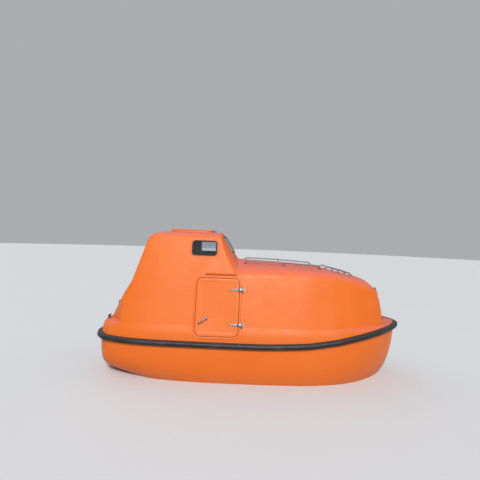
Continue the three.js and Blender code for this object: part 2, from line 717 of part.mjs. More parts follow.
function hook(x, facing) {
  const pin = ledgeAt(x) + HOOK.height;
  const outline = HOOK_OUTLINE.map(([dx, dz]) => [x + facing * dx, pin + dz]);
  const axle = bar([x, -HOOK.width / 2, pin], [x, HOOK.width / 2, pin], HOOK.pin, 20);
  return join(sidePlate(outline, HOOK.thickness), axle);
}

// Stern gear

function sternTube() {
  const outer = bar([SKEG_END - 40, 0, SHAFT_HEIGHT], [-1560, 0, SHAFT_HEIGHT], TUBE_RADIUS, ROUND);
  const bore = bar([-2000, 0, SHAFT_HEIGHT], [-1500, 0, SHAFT_HEIGHT], SHAFT_RADIUS + RUNNING_GAP, ROUND);
  return cut(outer, bore);
}

const BLADES = 4;
const BLADE_STEPS = 6;
const PITCH = 260;

// A blade is a thin flat section carried outwards, turned to the pitch at each radius
function blade(turn) {
  const rings = [];
  for (let i = 0; i <= BLADE_STEPS; i += 1) {
    const share = i / BLADE_STEPS;
    const radius = 20 + share * (PROPELLER_RADIUS - 20);
    const half = 22 + 40 * Math.sin(Math.PI * Math.min(share * 0.62 + 0.2, 0.97));
    const thick = 5 - 3 * share;
    const angle = Math.atan(PITCH / (2 * Math.PI * radius));
    const section = [
      [-half, 0], [-half * 0.5, thick], [half * 0.5, thick],
      [half, 0], [half * 0.5, -thick], [-half * 0.5, -thick],
    ];
    rings.push(section.map(([chord, side]) => {
      const axial = chord * Math.sin(angle) + side * Math.cos(angle);
      const around = chord * Math.cos(angle) - side * Math.sin(angle);
      const swing = around / radius;
      const limited = Math.max(-1.1, Math.min(1.1, swing)) + turn;
      return [PROPELLER_X + axial, radius * Math.cos(limited), SHAFT_HEIGHT + radius * Math.sin(limited)];
    }));
  }
  return loftAlong(rings);
}

function propeller() {
  const z = SHAFT_HEIGHT;
  const parts = [
    bar([PROPELLER_X - 38, 0, z], [PROPELLER_X + 42, 0, z], 32, ROUND),
    bar([PROPELLER_X, 0, z], [-1600, 0, z], SHAFT_RADIUS, ROUND),
    new THREE.CylinderGeometry(32, 12, 24, ROUND).rotateZ(-Math.PI / 2).translate(PROPELLER_X - 49.5, 0, z),
  ];
  for (let i = 0; i < BLADES; i += 1) parts.push(blade((i * 2 * Math.PI) / BLADES));
  return join(...parts);
}

// Section of the nozzle: radius and place along the shaft
const NOZZLE_PROFILE = [
  [172, -80], [180, -78], [192, -10], [192, 40], [184, 76], [172, 80],
  [NOZZLE_RADIUS, 40], [NOZZLE_RADIUS, -40],
];

function nozzle() {
  const profile = [...NOZZLE_PROFILE, NOZZLE_PROFILE[0]].map(([r, a]) => new THREE.Vector2(r, a));
  const ring = new THREE.LatheGeometry(profile, 28);
  ring.rotateZ(-Math.PI / 2).translate(PROPELLER_X, 0, SHAFT_HEIGHT);
  const top = SHAFT_HEIGHT + NOZZLE_RADIUS;
  const low = SHAFT_HEIGHT - NOZZLE_RADIUS;
  const parts = [
    block([PROPELLER_X - 230, PROPELLER_X - 72], [-7, 7], [low - 8, top + 8]),
    bar([PROPELLER_X, 0, top + 8], [PROPELLER_X, 0, 140], STOCK_RADIUS, ROUND),
    bar([PROPELLER_X, 0, low - 8], [PROPELLER_X, 0, HEEL.top + 5], STOCK_RADIUS, ROUND),
    bar([PROPELLER_X, 0, low - 8], [PROPELLER_X, 0, HEEL.bottom + 3], PINTLE_RADIUS, ROUND),
  ];
  return join(ring, ...parts);
}

// Steel shoe under the keel, carried aft as a heel below the nozzle
const HEEL = { bottom: -553, top: -515, end: -2340, fore: 1240, width: 64 };
const PINTLE_RADIUS = 12;

function keelShoe() {
  const seat = SKEG_BOTTOM - SEAM;
  const outline = [
    [HEEL.fore, seat], [HEEL.fore, HEEL.bottom], [HEEL.end, HEEL.bottom], [HEEL.end, HEEL.top],
    [SKEG_END - SEAM, HEEL.top], [SKEG_END - SEAM, seat],
  ];
  const [low, high] = [HEEL.bottom - 10, HEEL.top + 10];
  const pintle = bar([PROPELLER_X, 0, low], [PROPELLER_X, 0, high], PINTLE_RADIUS + RUNNING_GAP, ROUND);
  return cut(sidePlate(outline, HEEL.width), pintle);
}

// Inside the cabin: plates that reach out to the walls, and what stands on them

const SOLE = { x: [-740, 1750], half: 900, thickness: 22 };
const BULKHEAD = { x: [-775, -745], half: 1000, bottom: -450 };
const PLATFORM = { x: [-1950, -985], half: 1000, thickness: 25 };
const BENCH = { x: [-740, 1500], y: [-1100, -450], thickness: 25 };
const ENGINE = { x: [-1340, -800], half: 220, top: 420 };

function fitted(piece, inner) {
  return toSolid(piece).intersect(toSolid(inner));
}

function sole() {
  const plateBelow = block(SOLE.x, [-SOLE.half, SOLE.half], [SOLE_HEIGHT - SOLE.thickness, SOLE_HEIGHT]);
  return fitted(plateBelow, hullInner(SEAM));
}

function bulkhead() {
  const wall = block(BULKHEAD.x, [-BULKHEAD.half, BULKHEAD.half], [BULKHEAD.bottom, railAt(BULKHEAD.x[0])]);
  return fitted(wall, hullInner(SEAM));
}

function helmPlatform() {
  const top = [PLATFORM_HEIGHT - PLATFORM.thickness, PLATFORM_HEIGHT];
  return fitted(block(PLATFORM.x, [-PLATFORM.half, PLATFORM.half], top), canopyInner(SEAM));
}

function engine() {
  return block(ENGINE.x, [-ENGINE.half, ENGINE.half], [BEARER.top + SEAM, ENGINE.top]);
}

function bench() {
  const inner = BENCH.y[1];
  const top = block(BENCH.x, BENCH.y, [BENCH_HEIGHT - BENCH.thickness, BENCH_HEIGHT]);
  const front = block(BENCH.x, [inner - BENCH.thickness, inner], [SOLE_HEIGHT + SEAM, BENCH_HEIGHT - 10]);
  return join(top, front).intersect(toSolid(hullInner(SEAM)));
}

const CONSOLE = { x: [-1190, -1010], half: 260, top: 1600 };
const COLUMN_RADIUS = 14;
const WHEEL = { x: -1262, z: 1480, radius: 160, lean: 0.45 };

function helmConsole() {
  const floor = PLATFORM_HEIGHT + SEAM;
  const [aft, fore] = CONSOLE.x;
  const outline = [
    [aft + 60, floor], [aft, 1380], [fore - 80, CONSOLE.top], [fore, CONSOLE.top], [fore, floor],
  ];
  const axis = wheelAxis();
  const bore = bar(axis(-30), axis(140), COLUMN_RADIUS + RUNNING_GAP, 20);
  return cut(sidePlate(outline, 2 * CONSOLE.half), bore);
}

// Points along the wheel's axis, counted forward and down from the wheel's centre
function wheelAxis() {
  const way = [Math.cos(WHEEL.lean), -Math.sin(WHEEL.lean)];
  return (away) => [WHEEL.x + way[0] * away, 0, WHEEL.z + way[1] * away];
}

function helmWheel() {
  const ring = new THREE.TorusGeometry(WHEEL.radius, 11, 8, 24);
  const parts = [ring];
  for (const turn of [0.5, 2.6, 4.7]) {
    const [c, s] = [Math.cos(turn) * WHEEL.radius, Math.sin(turn) * WHEEL.radius];
    parts.push(bar([0, 0, 0], [c, s, 0], 8, 10));
  }
  parts.push(bar([0, 0, -22], [0, 0, 22], 32, 20));
  parts.push(bar([0, 0, 0], [0, 0, 130], COLUMN_RADIUS, 20));
  const up = [Math.sin(WHEEL.lean), 0, Math.cos(WHEEL.lean)];
  const frame = faceFrame([WHEEL.x, 0, WHEEL.z], [0, 1, 0], up);
  return on(frame, toGeometry(join(...parts)));
}

const CHAIR_WIDTH = 420;

// Foot, pedestal, seat and back of the chair in one outline
function helmChair() {
  const floor = PLATFORM_HEIGHT + SEAM;
  const outline = [
    [-1700, floor], [-1440, floor], [-1440, floor + 30], [-1530, floor + 60], [-1530, 1190], [-1390, 1200],
    [-1390, 1245], [-1700, 1235], [-1780, 1700], [-1820, 1690], [-1760, 1190], [-1610, 1185],
    [-1610, floor + 60], [-1700, floor + 30],
  ];
  return sidePlate(outline, CHAIR_WIDTH);
}

// Assembly

addPiece('hull', hull(), MATERIALS.orange);
addPiece('skeg', skeg(), MATERIALS.orange);
addPiece('canopy', canopy(), MATERIALS.orange);
addPiece('keel_shoe', keelShoe(), MATERIALS.steel);
addPiece('stern_tube', sternTube(), MATERIALS.bronze);
addPiece('propeller', propeller(), MATERIALS.bronze);
addPiece('steering_nozzle', nozzle(), MATERIALS.steel);
addPiece('engine', engine(), MATERIALS.engine);
addPiece('cabin_sole', sole(), MATERIALS.liner);
addPiece('engine_bulkhead', bulkhead(), MATERIALS.liner);
addPiece('helm_platform', helmPlatform(), MATERIALS.liner);
addPiece('helm_console', helmConsole(), MATERIALS.liner);
addPiece('helm_wheel', helmWheel(), MATERIALS.black);
addPiece('helm_chair', helmChair(), MATERIALS.black);

addPiece('window_aft', pane(aftWindowFrame, AFT_WINDOW, FRAME_PROUD), MATERIALS.glass);
addPiece('fore_hatch', foreLid.lid, MATERIALS.orange);
addPiece('aft_hatch', aftLid.lid, MATERIALS.orange);
addPiece('roof_hatch', roofLid.lid, MATERIALS.orange);
addPiece('hook_base_fore', hookBase(HOOK.fore, 1), MATERIALS.steel);
addPiece('hook_base_aft', hookBase(HOOK.aft, -1), MATERIALS.steel);
addPiece('hook_fore', hook(HOOK.fore, 1), MATERIALS.steel);
addPiece('hook_aft', hook(HOOK.aft, -1), MATERIALS.steel);

// Pieces that come in pairs are made on the starboard side and mirrored to port
const PAIRS = [
  ['fender', toPort(fender()), MATERIALS.rubber],
  ['door', doorPanel(), MATERIALS.orange],
  ['door_strap_lower', doorStrap(HINGE_HEIGHTS.lower), MATERIALS.steel],
  ['door_strap_upper', doorStrap(HINGE_HEIGHTS.upper), MATERIALS.steel],
  ['door_bracket_lower', doorBracket(HINGE_HEIGHTS.lower), MATERIALS.steel],
  ['door_bracket_upper', doorBracket(HINGE_HEIGHTS.upper), MATERIALS.steel],
  ['door_lever', doorLever(), MATERIALS.steel],
  ['gutter', gutter(), MATERIALS.orange],
  ['window_side', pane(sideWindowFrame, SIDE_WINDOW, FRAME_PROUD), MATERIALS.glass],
  ['window_front', pane(frontWindowFrame, FRONT_WINDOW, FRAME_PROUD), MATERIALS.glass],
  ['deck_rail_mid', deckRail(DECK_RAILS.mid), MATERIALS.steel],
  ['deck_rail_fore', deckRail(DECK_RAILS.fore), MATERIALS.steel],
  ['bilge_rail', bilgeRail(), MATERIALS.steel],
  ['cleat', cleat(), MATERIALS.steel],
  ['bench', bench(), MATERIALS.liner],
];

for (const [name, shape, material] of PAIRS) {
  addPiece(`${name}_starboard`, shape, material);
  addPiece(`${name}_port`, toPort(shape), material);
}

export default boat;
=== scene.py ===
# Looks of a totally enclosed lifeboat, five metres long, afloat at its waterline.
# Metres. +X to the bow, +Y to port, +Z up, origin amidships on the centreline at the waterline.

import math

import bmesh
import bpy
import numpy as np
from mathutils import Matrix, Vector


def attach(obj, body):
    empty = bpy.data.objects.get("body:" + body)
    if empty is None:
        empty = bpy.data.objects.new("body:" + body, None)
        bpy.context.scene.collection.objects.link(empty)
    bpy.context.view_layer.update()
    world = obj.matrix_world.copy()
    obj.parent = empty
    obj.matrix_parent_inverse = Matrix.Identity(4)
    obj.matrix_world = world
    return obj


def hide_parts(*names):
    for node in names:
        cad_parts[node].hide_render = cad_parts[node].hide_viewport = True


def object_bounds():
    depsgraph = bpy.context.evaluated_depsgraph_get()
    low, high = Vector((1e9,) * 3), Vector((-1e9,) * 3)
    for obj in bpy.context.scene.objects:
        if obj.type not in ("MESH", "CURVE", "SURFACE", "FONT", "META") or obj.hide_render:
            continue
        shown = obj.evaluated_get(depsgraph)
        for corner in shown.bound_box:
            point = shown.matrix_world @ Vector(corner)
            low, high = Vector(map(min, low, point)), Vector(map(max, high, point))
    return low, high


bl_info = {
    "name": "Enclosed lifeboat",
    "version": (1, 0, 0),
    "blender": (4, 5, 0),
    "location": "View3D > Sidebar > Lifeboat",
    "description": "Dresses a totally enclosed lifeboat with smooth mouldings, fittings and finishes",
    "category": "Object",
}

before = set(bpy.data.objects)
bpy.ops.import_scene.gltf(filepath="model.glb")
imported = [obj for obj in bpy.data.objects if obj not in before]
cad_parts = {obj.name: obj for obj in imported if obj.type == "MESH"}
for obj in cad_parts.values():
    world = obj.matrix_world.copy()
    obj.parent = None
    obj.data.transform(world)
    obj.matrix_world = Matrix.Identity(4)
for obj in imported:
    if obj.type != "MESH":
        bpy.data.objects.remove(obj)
CAD_BOX = [list(corner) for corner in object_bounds()]

# Driving dimensions, shared with the solids of the frame
HULL_WALL = 0.040
CANOPY_WALL = 0.032
HULL_INSIDE = (-2.460, 2.330)
CANOPY_INSIDE = (-2.440, 2.380)
SEAM = 0.0003
TUMBLEHOME = 0.25
SIDE_FOOT = 0.986
LEDGE_HEIGHT = 0.870
STERN = -2.500
STEM = 2.492
SHAFT_HEIGHT = -0.270
PROPELLER_X = -2.150
SHAFT_BORE = {"from": -2.300, "to": -1.480, "radius": 0.0313}
STOCK_BORE = {"reach": 0.300, "radius": 0.0208}
SKEG = {"aft": -1.860, "fore": 1.250, "tip": 1.600, "bottom": -0.540, "half": 0.045}
BEARER = {"x": (-1.400, -0.790), "y": (0.140, 0.215), "top": -0.185}
PLATFORM_HEIGHT = 0.800

# Lines of the hull: x, half breadth at the rail, height of the rail, height of the bottom, fullness
HULL_LINES = np.array([
    [-2.500, 0.560, 0.640, 0.060, 2.4],
    [-2.440, 0.745, 0.639, 0.040, 2.4],
    [-2.287, 0.915, 0.636, 0.008, 2.4],
    [-1.855, 1.020, 0.624, -0.115, 2.3],
    [-1.520, 1.038, 0.618, -0.240, 2.2],
    [-0.563, 1.040, 0.607, -0.405, 2.2],
    [0.000, 1.040, 0.605, -0.430, 2.2],
    [0.700, 1.038, 0.632, -0.430, 2.1],
    [1.200, 1.000, 0.692, -0.410, 1.9],
    [1.600, 0.905, 0.761, -0.360, 1.7],
    [1.900, 0.765, 0.807, -0.270, 1.5],
    [2.130, 0.590, 0.833, -0.130, 1.4],
    [2.300, 0.405, 0.842, 0.030, 1.3],
    [2.400, 0.262, 0.844, 0.280, 1.25],
    [2.440, 0.185, 0.844, 0.450, 1.2],
    [2.475, 0.100, 0.842, 0.690, 1.2],
    [2.492, 0.045, 0.840, 0.800, 1.2],
])

# Canopy: x, half breadth at the foot, side height, crown height, corner, ledge height, width of the rim
CANOPY_LINES = np.array([
    [-2.500, 0.430, 0.741, 0.742, 0.001, 0.740, 0.060],
    [-2.440, 0.560, 0.846, 0.847, 0.001, 0.845, 0.110],
    [-2.390, 0.600, 0.869, 0.870, 0.001, 0.868, 0.120],
    [-2.335, 0.600, 0.871, 0.872, 0.001, 0.870, 0.115],
    [-2.287, 0.660, 1.012, 1.036, 0.060, 0.870, 0.100],
    [-2.190, 0.800, 1.182, 1.212, 0.080, 0.870, 0.080],
    [-2.100, 0.930, 1.345, 1.374, 0.100, 0.870, 0.060],
    [-2.008, 0.968, 1.510, 1.541, 0.110, 0.870, 0.054],
    [-1.860, 0.986, 2.022, 2.050, 0.100, 0.870, 0.054],
    [-1.805, 0.986, 2.200, 2.225, 0.090, 0.870, 0.054],
    [-1.775, 0.986, 2.245, 2.262, 0.080, 0.870, 0.054],
    [-1.735, 0.986, 2.268, 2.286, 0.070, 0.870, 0.054],
    [-1.690, 0.986, 2.278, 2.300, 0.070, 0.870, 0.054],
    [-1.610, 0.986, 2.285, 2.315, 0.080, 0.870, 0.054],
    [-1.520, 0.986, 2.288, 2.325, 0.090, 0.870, 0.054],
    [-0.600, 0.986, 2.288, 2.325, 0.090, 0.870, 0.054],
    [-0.563, 0.986, 2.177, 2.267, 0.100, 0.870, 0.054],
    [-0.500, 0.986, 2.028, 2.168, 0.120, 0.870, 0.054],
    [-0.400, 0.986, 1.846, 2.011, 0.150, 0.870, 0.054],
    [-0.310, 0.986, 1.735, 1.870, 0.170, 0.870, 0.054],
    [-0.200, 0.986, 1.735, 1.865, 0.130, 0.870, 0.054],
    [0.000, 0.986, 1.735, 1.860, 0.120, 0.870, 0.054],
    [0.700, 0.985, 1.735, 1.826, 0.120, 0.870, 0.054],
    [1.200, 0.938, 1.706, 1.772, 0.120, 0.872, 0.054],
    [1.400, 0.885, 1.668, 1.722, 0.115, 0.875, 0.056],
    [1.600, 0.822, 1.616, 1.680, 0.110, 0.880, 0.060],
    [1.900, 0.675, 1.518, 1.605, 0.100, 0.885, 0.062],
    [2.057, 0.570, 1.400, 1.493, 0.090, 0.888, 0.062],
    [2.105, 0.530, 1.310, 1.405, 0.080, 0.889, 0.062],
    [2.130, 0.505, 1.130, 1.210, 0.070, 0.890, 0.062],
    [2.150, 0.485, 0.950, 0.990, 0.030, 0.890, 0.062],
    [2.162, 0.470, 0.891, 0.892, 0.001, 0.890, 0.062],
    [2.300, 0.290, 0.891, 0.892, 0.001, 0.890, 0.060],
    [2.400, 0.150, 0.889, 0.890, 0.001, 0.888, 0.055],
    [2.440, 0.090, 0.887, 0.888, 0.001, 0.886, 0.050],
    [2.475, 0.030, 0.885, 0.886, 0.001, 0.884, 0.040],
    [2.492, 0.008, 0.882, 0.883, 0.001, 0.881, 0.025],
])

# Stretch of the foredeck whose lines are fair curves
FAIR = (0.000, 2.057)

# Radius at which a turned profile meets its axis, and how deep a bolt's washer is sunk
AXIS = 1e-5
BOLT_SUNK = 0.001

# Openings on the flat faces: size, corner radius and how far the raised rim stands out
DOOR = {"width": 0.684, "height": 0.902, "radius": 0.095, "proud": 0.008, "x": -0.608, "z": 1.162}
SIDE_WINDOW = {"width": 0.391, "height": 0.232, "radius": 0.045, "proud": 0.010, "x": -0.861, "z": 2.062}
FRONT_WINDOW = {"width": 0.400, "height": 0.300, "radius": 0.050, "proud": 0.010, "y": -0.245}
FRONT_WINDOW_TURN = {"yaw": 0.075, "back": 0.014}
AFT_WINDOW = {"width": 0.460, "height": 0.230, "radius": 0.045, "proud": 0.010}
FORE_HATCH = {"width": 0.420, "height": 0.300, "radius": 0.050, "proud": 0.020}
AFT_HATCH = {"width": 0.520, "height": 0.420, "radius": 0.060, "proud": 0.020}
ROOF_HATCH = {"width": 0.600, "height": 0.678, "radius": 0.060, "proud": 0.015}
RIM_WIDTH = 0.030
DOOR_GAP = 0.006
DOOR_INNER = -0.026
PANE = 0.008
LID = {"gap": 0.0005, "thickness": 0.024, "over": 0.026, "hinge_out": 0.020}

HINGE = {"x": -0.215, "out": 0.034, "heights": (0.905, 1.425)}
LEVER = {"from": (-0.907, 0.898), "to": (-0.769, 0.987)}
GUTTER = {"x": (-0.825, -0.324), "z": 1.655, "out": 0.036, "up": 0.014, "down": 0.016}
DECK_RAIL = {"radius": 0.012, "lean": 0.046}
# Height of each rail above the deck, and its feet as x and distance from the centreline
DECK_RAILS = {
    "mid": (0.055, [(-0.200, 0.470), (0.464, 0.470), (1.100, 0.420)]),
    "fore": (0.042, [(1.200, 0.235), (1.450, 0.225), (1.700, 0.210)]),
}
BILGE_RAIL = {"y": 0.760, "feet": (-0.900, -0.300, 0.300, 0.900), "radius": 0.013, "out": 0.060}
CLEAT = {"x": -2.385, "y": -0.600}
HOOKS = {"fore": (2.250, 1), "aft": (-2.385, -1)}
HOOK_PIN = 0.096

# Floor: its radius, how far fore and aft the hull cuts it, and how far it reaches past the hull's side
FLOOR_RADIUS = 60.0
WATERLINE_END = 2.262
WATERLINE_LAP = 0.012


# What a user would change

def length(name, description, default):
    """A size in metres."""
    return bpy.props.FloatProperty(name=name, description=description, default=default, min=0, unit="LENGTH")


def degrees(name, description, default):
    """An angle, with its default in degrees."""
    return bpy.props.FloatProperty(
        name=name, description=description, default=math.radians(default), subtype="ANGLE"
    )


def amount(name, description, default):
    """A plain number that is not negative."""
    return bpy.props.FloatProperty(name=name, description=description, default=default, min=0)


def colour(name, description, default):
    """A colour of red, green and blue."""
    return bpy.props.FloatVectorProperty(
        name=name, description=description, default=default, subtype="COLOR", size=3, min=0, max=1
    )


class LifeboatSizes(bpy.types.PropertyGroup):
    """Sizes of the roundings and seams."""

    knuckle: length("Knuckle rounding", "Reach of the rounding where faces of the canopy meet", 0.035)
    foot: length("Foot fillet", "Fillet between the canopy's side and its ledge", 0.028)
    rim: length("Rim rounding", "Rounding of the rim's edges", 0.020)
    gasket: length("Gasket width", "Width of the black seal round a window", 0.011)
    bolt: length("Bolt head", "Radius of a domed bolt head", 0.006)
    fender_depth: length("Fender depth", "How far the fender stands out of the side", 0.072)
    fender_half: length("Fender half height", "Half of the fender's height", 0.042)


class LifeboatColours(bpy.types.PropertyGroup):
    """Colours of the finishes."""

    gelcoat: colour("Gelcoat", "Orange of hull and canopy", (0.62, 0.120, 0.010))
    faded: colour("Faded gelcoat", "Orange where the sun has faded it", (0.66, 0.160, 0.025))
    # Pale pink of faces that look up: partly dust, partly a painted sheen that stands in for the sky's
    # reflection
    dust_and_sheen: colour("Dusty gelcoat", "Orange under the dust of faces that look up", (0.66, 0.150, 0.135))
    liner: colour("Liner", "Off-white inside of the cabin", (0.62, 0.60, 0.54))
    rubber: colour("Rubber", "Fender and seals", (0.010, 0.010, 0.012))
    glass: colour("Glass", "Tint of the windows", (0.84, 0.87, 0.90))
    steel: colour("Steel", "Stainless fittings", (0.22, 0.21, 0.22))
    bronze: colour("Bronze", "Propeller and stern tube", (0.48, 0.30, 0.12))
    engine: colour("Engine paint", "Enamel of the engine", (0.10, 0.16, 0.14))
    plastic: colour("Black plastic", "Wheel and chair", (0.020, 0.021, 0.023))
    dial: colour("Dial", "Faces of the instruments", (0.70, 0.70, 0.66))
    floor: colour("Floor", "Pale studio floor", (0.64, 0.65, 0.66))


class LifeboatStudio(bpy.types.PropertyGroup):
    """Camera and light."""

    lens: amount("Lens", "Focal length in millimetres", 28.5)
    camera: bpy.props.FloatVectorProperty(
        name="Camera", description="Place of the camera", default=(-0.305, -6.930, 2.280),
        subtype="TRANSLATION",
    )
    pitch: degrees("Pitch", "How far the camera looks up", 3.24)
    roll: degrees("Roll", "How far the picture leans to the right", 2.1)
    key: amount("Key light", "Strength of the sun", 3.3)
    fill: amount("Fill light", "Strength from the other side", 0.35)
    sky: amount("Sky light", "Strength of the surroundings", 0.45)


# Parts: a part is its points and a list of arrays of faces

def grid(points, wrap=False):
    """Points in rows and columns as one skin: each cell between four neighbours is a face.

    With wrap, the last column is joined to the first.
    """
    rows, columns = points.shape[:2]
    i, j = np.meshgrid(np.arange(rows - 1), np.arange(columns if wrap else columns - 1), indexing="ij")
    k = (j + 1) % columns
    faces = np.stack([i * columns + j, (i + 1) * columns + j, (i + 1) * columns + k, i * columns + k], -1)
    return points.reshape(-1, 3), [faces.reshape(-1, 4)]


def combine(*parts):
    """Several parts as one."""
    points, faces, count = [], [], 0
    for part_points, part_faces in parts:
        points.append(part_points)
        faces += [face + count for face in part_faces]
        count += len(part_points)
    return np.vstack(points), faces


def volume(part):
    """Enclosed volume: a sixth of the sum of the triple products of each face cut into a fan."""
    points, faces = part
    total = 0.0
    for face in faces:
        first = points[face[:, :1]]
        fan = np.cross(points[face[:, 1:-1]], points[face[:, 2:]])
        total += (first * fan).sum()
    return total / 6


def outward(part):
    """The part with its faces turned out."""
    points, faces = part
    return part if volume(part) > 0 else (points, [face[:, ::-1] for face in faces])


def placed(part, matrix):
    """The part carried into a frame."""
    points, faces = part
    return points @ matrix[:3, :3].T + matrix[:3, 3], faces


def mirrored(part):
    """The part on the other side of the centreline: y changes sign and the faces are turned back out."""
    points, faces = part
    return points * (1, -1, 1), [face[:, ::-1] for face in faces]


def capped(rings):
    """Closed body through rings of equal counts: the skin between them and a flat face at each end."""
    count = rings.shape[1]
    points, faces = grid(rings, wrap=True)
    first = np.arange(count)[None]
    last = (len(rings) - 1) * count + np.arange(count)[None, ::-1]
    return outward((points, faces + [first, last]))


def ringed(rings):
    """Closed body whose rings go round and come back to the first: a skin wrapped both ways."""
    return outward(grid(np.vstack([rings, rings[:1]]), wrap=True))


def shell(outer, inner):
    """Wall between two open skins of equal rows and columns: both skins and a band along their edges."""
    rows, columns = outer.shape[:2]
    skin, faces = grid(outer)
    lining, lining_faces = grid(inner)
    index = np.arange(rows * columns).reshape(rows, columns)
    edge = np.concatenate([index[0], index[1:, -1], index[-1, -2::-1], index[-2:0:-1, 0]])
    after = np.roll(edge, -1)
    count = rows * columns
    wall = np.stack([edge, after, after + count, edge + count], -1)
    inside = [face[:, ::-1] + count for face in lining_faces]
    return outward((np.vstack([skin, lining]), faces + [wall] + inside))


# Curves

def cubic(t, start, end, start_slope, end_slope):
    """Cubic from start to end, which sets off and arrives with the slopes given."""
    setting_off = (1 + 2 * t) * (1 - t) ** 2 * start + t * (1 - t) ** 2 * start_slope
    arriving = t * t * (3 - 2 * t) * end + t * t * (t - 1) * end_slope
    return setting_off + arriving


def smooth_rows(rows, at):
    """Rows of a table read at any place along their first column.

    Each column is a cubic between its rows. Its slope at a row is the harmonic mean of the slopes on
    both sides, and zero where they differ in sign, so the curve never overshoots its rows.
    """
    x, y = rows[:, 0], rows[:, 1:]
    gap = np.diff(x)[:, None]
    rise = np.diff(y, axis=0) / gap
    product = rise[:-1] * rise[1:]
    total = rise[:-1] + rise[1:]
    middle = np.where(product > 0, 2 * product / np.where(total == 0, 1, total), 0)
    slope = np.vstack([rise[:1], middle, rise[-1:]])
    at = np.clip(at, x[0], x[-1])
    i = np.clip(np.searchsorted(x, at, side="right") - 1, 0, len(x) - 2)
    t = (at - x[i])[:, None] / gap[i]
    return cubic(t, y[i], y[i + 1], gap[i] * slope[i], gap[i] * slope[i + 1]).T


def turns(sides):
    """Angles of the corners of a circle with so many sides."""
    return np.linspace(0, 2 * math.pi, sides, endpoint=False)


def bezier(a, b, c, steps):
    """Quadratic curve from a to c that heads for b.

    Its shares are (1 - t) squared of a, 2t(1 - t) of b and t squared of c.
    """
    t = np.linspace(0, 1, steps)[:, None]
    a, b, c = (np.asarray(p)[..., None, :] for p in (a, b, c))
    return (1 - t) ** 2 * a + 2 * t * (1 - t) * b + t * t * c


def fillet(a, b, c, reach, steps):
    """Rounded corner at b between the lines to a and to c, begun a reach before it."""
    def towards(p):
        """Point on the way from b to p: a reach away, or just short of half way."""
        way = p - b
        size = np.linalg.norm(way, axis=-1, keepdims=True)
        return b + way * np.minimum(reach / np.maximum(size, 1e-9), 0.48)
    return bezier(towards(a), b, towards(c), steps)


def rounded_path(points, reach, steps=7):
    """Line through the points whose inner corners are rounded."""
    p = np.asarray(points, float)
    if len(p) == 2:
        return p
    curves = fillet(p[:-2], p[1:-1], p[2:], reach, steps)
    return np.vstack([p[:1], curves.reshape(-1, p.shape[1]), p[-1:]])


def smooth_loop(points, steps=6):
    """Closed curve through the points.

    Between two points it is a cubic. Its slope at a point is half the way between the point's neighbours.
    """
    p = np.asarray(points, float)
    before, after = np.roll(p, 1, 0), np.roll(p, -1, 0)
    slope = (after - before) / 2
    t = np.linspace(0, 1, steps, endpoint=False)[None, :, None]
    ends = [array[:, None] for array in (p, after, slope, np.roll(slope, -1, 0))]
    return cubic(t, *ends).reshape(-1, p.shape[1])


def rounded_rectangle(width, height, radius, steps=9):
    """Function of a growth that gives the outline: four arcs whose radius grows with it."""
    angle = np.linspace(0, math.pi / 2, steps)
    turn = (angle[None] + np.arange(4)[:, None] * math.pi / 2).ravel()
    side = np.array([[1, 1], [-1, 1], [-1, -1], [1, -1]]).repeat(steps, 0)
    centre = side * (width / 2 - radius, height / 2 - radius)

    def outline(grow=0.0):
        """Outline at a growth. An arc that would vanish stays half a millimetre, and its centre moves in."""
        rest = max(radius + grow, 0.0005)
        pull = min(radius + grow - rest, 0.0)
        return centre + side * pull + rest * np.stack([np.cos(turn), np.sin(turn)], -1)

    return outline


def free_outline(points):
    """Function of a growth that gives a drawn outline, each point moved along its normal."""
    p = np.asarray(points, float)
    way = np.roll(p, -1, 0) - np.roll(p, 1, 0)
    area = (p[:, 0] * np.roll(p[:, 1], -1) - np.roll(p[:, 0], -1) * p[:, 1]).sum()
    normal = np.stack([way[:, 1], -way[:, 0]], -1) * np.sign(area)
    normal /= np.linalg.norm(normal, axis=1, keepdims=True)
    return lambda grow=0.0: p + normal * grow


def rounded_edge(low, high, radius, steps=5):
    """Profile of growth and height for a plate between two heights with quarter-round edges."""
    angle = np.linspace(0, math.pi / 2, steps)
    rise, fall = radius * (1 - np.cos(angle)), radius * (1 - np.sin(angle))
    return np.vstack([np.stack([-fall, low + rise], -1), np.stack([-rise, high - fall], -1)])


def lifted(outline, profile):
    """Rings of an outline: grown by each row's first value and lifted by its second."""
    rings = [np.column_stack([outline(grow), np.full(len(outline()), height)]) for grow, height in profile]
    return np.stack(rings)


def plate(outline, low, high, radius=0.002, steps=4):
    """Plate with rounded edges."""
    return capped(lifted(outline, rounded_edge(low, high, radius, steps)))


def extruded(outline, low, high, radius=0.001, steps=3, order=(0, 2, 1)):
    """Plate whose outline lies in another plane: order says where outline and thickness go."""
    points, faces = plate(outline, low, high, radius, steps)
    return outward((points[:, order], faces))


def band(outline, profile):
    """Closed profile carried round an outline."""
    return ringed(lifted(outline, profile))


def lug_outline(half, height, centre, foot, steps):
    """Outline of a lug: straight sides up from its foot, and half an ellipse round its centre."""
    angle = np.linspace(0, math.pi, steps)
    head = np.stack([half * np.cos(angle), centre + height * np.sin(angle)], -1)
    return free_outline(np.vstack([head, [[-half, foot], [half, foot]]]))


def pad(centre, along, up, width, height, thick, radius):
    """Moulded plate with full round edges and a slight hollow in its middle."""
    angle = np.linspace(-math.pi / 2, math.pi / 2, 9)
    edge = thick / 2 * np.stack([np.cos(angle) - 1, np.sin(angle)], -1)
    hollow = [(-0.045, thick / 2 - 0.002), (-0.065, thick / 2 - 0.006)]
    outline = rounded_rectangle(width, height, radius, 10)
    return placed(capped(lifted(outline, np.vstack([edge, hollow]))), face_frame(centre, along, up))


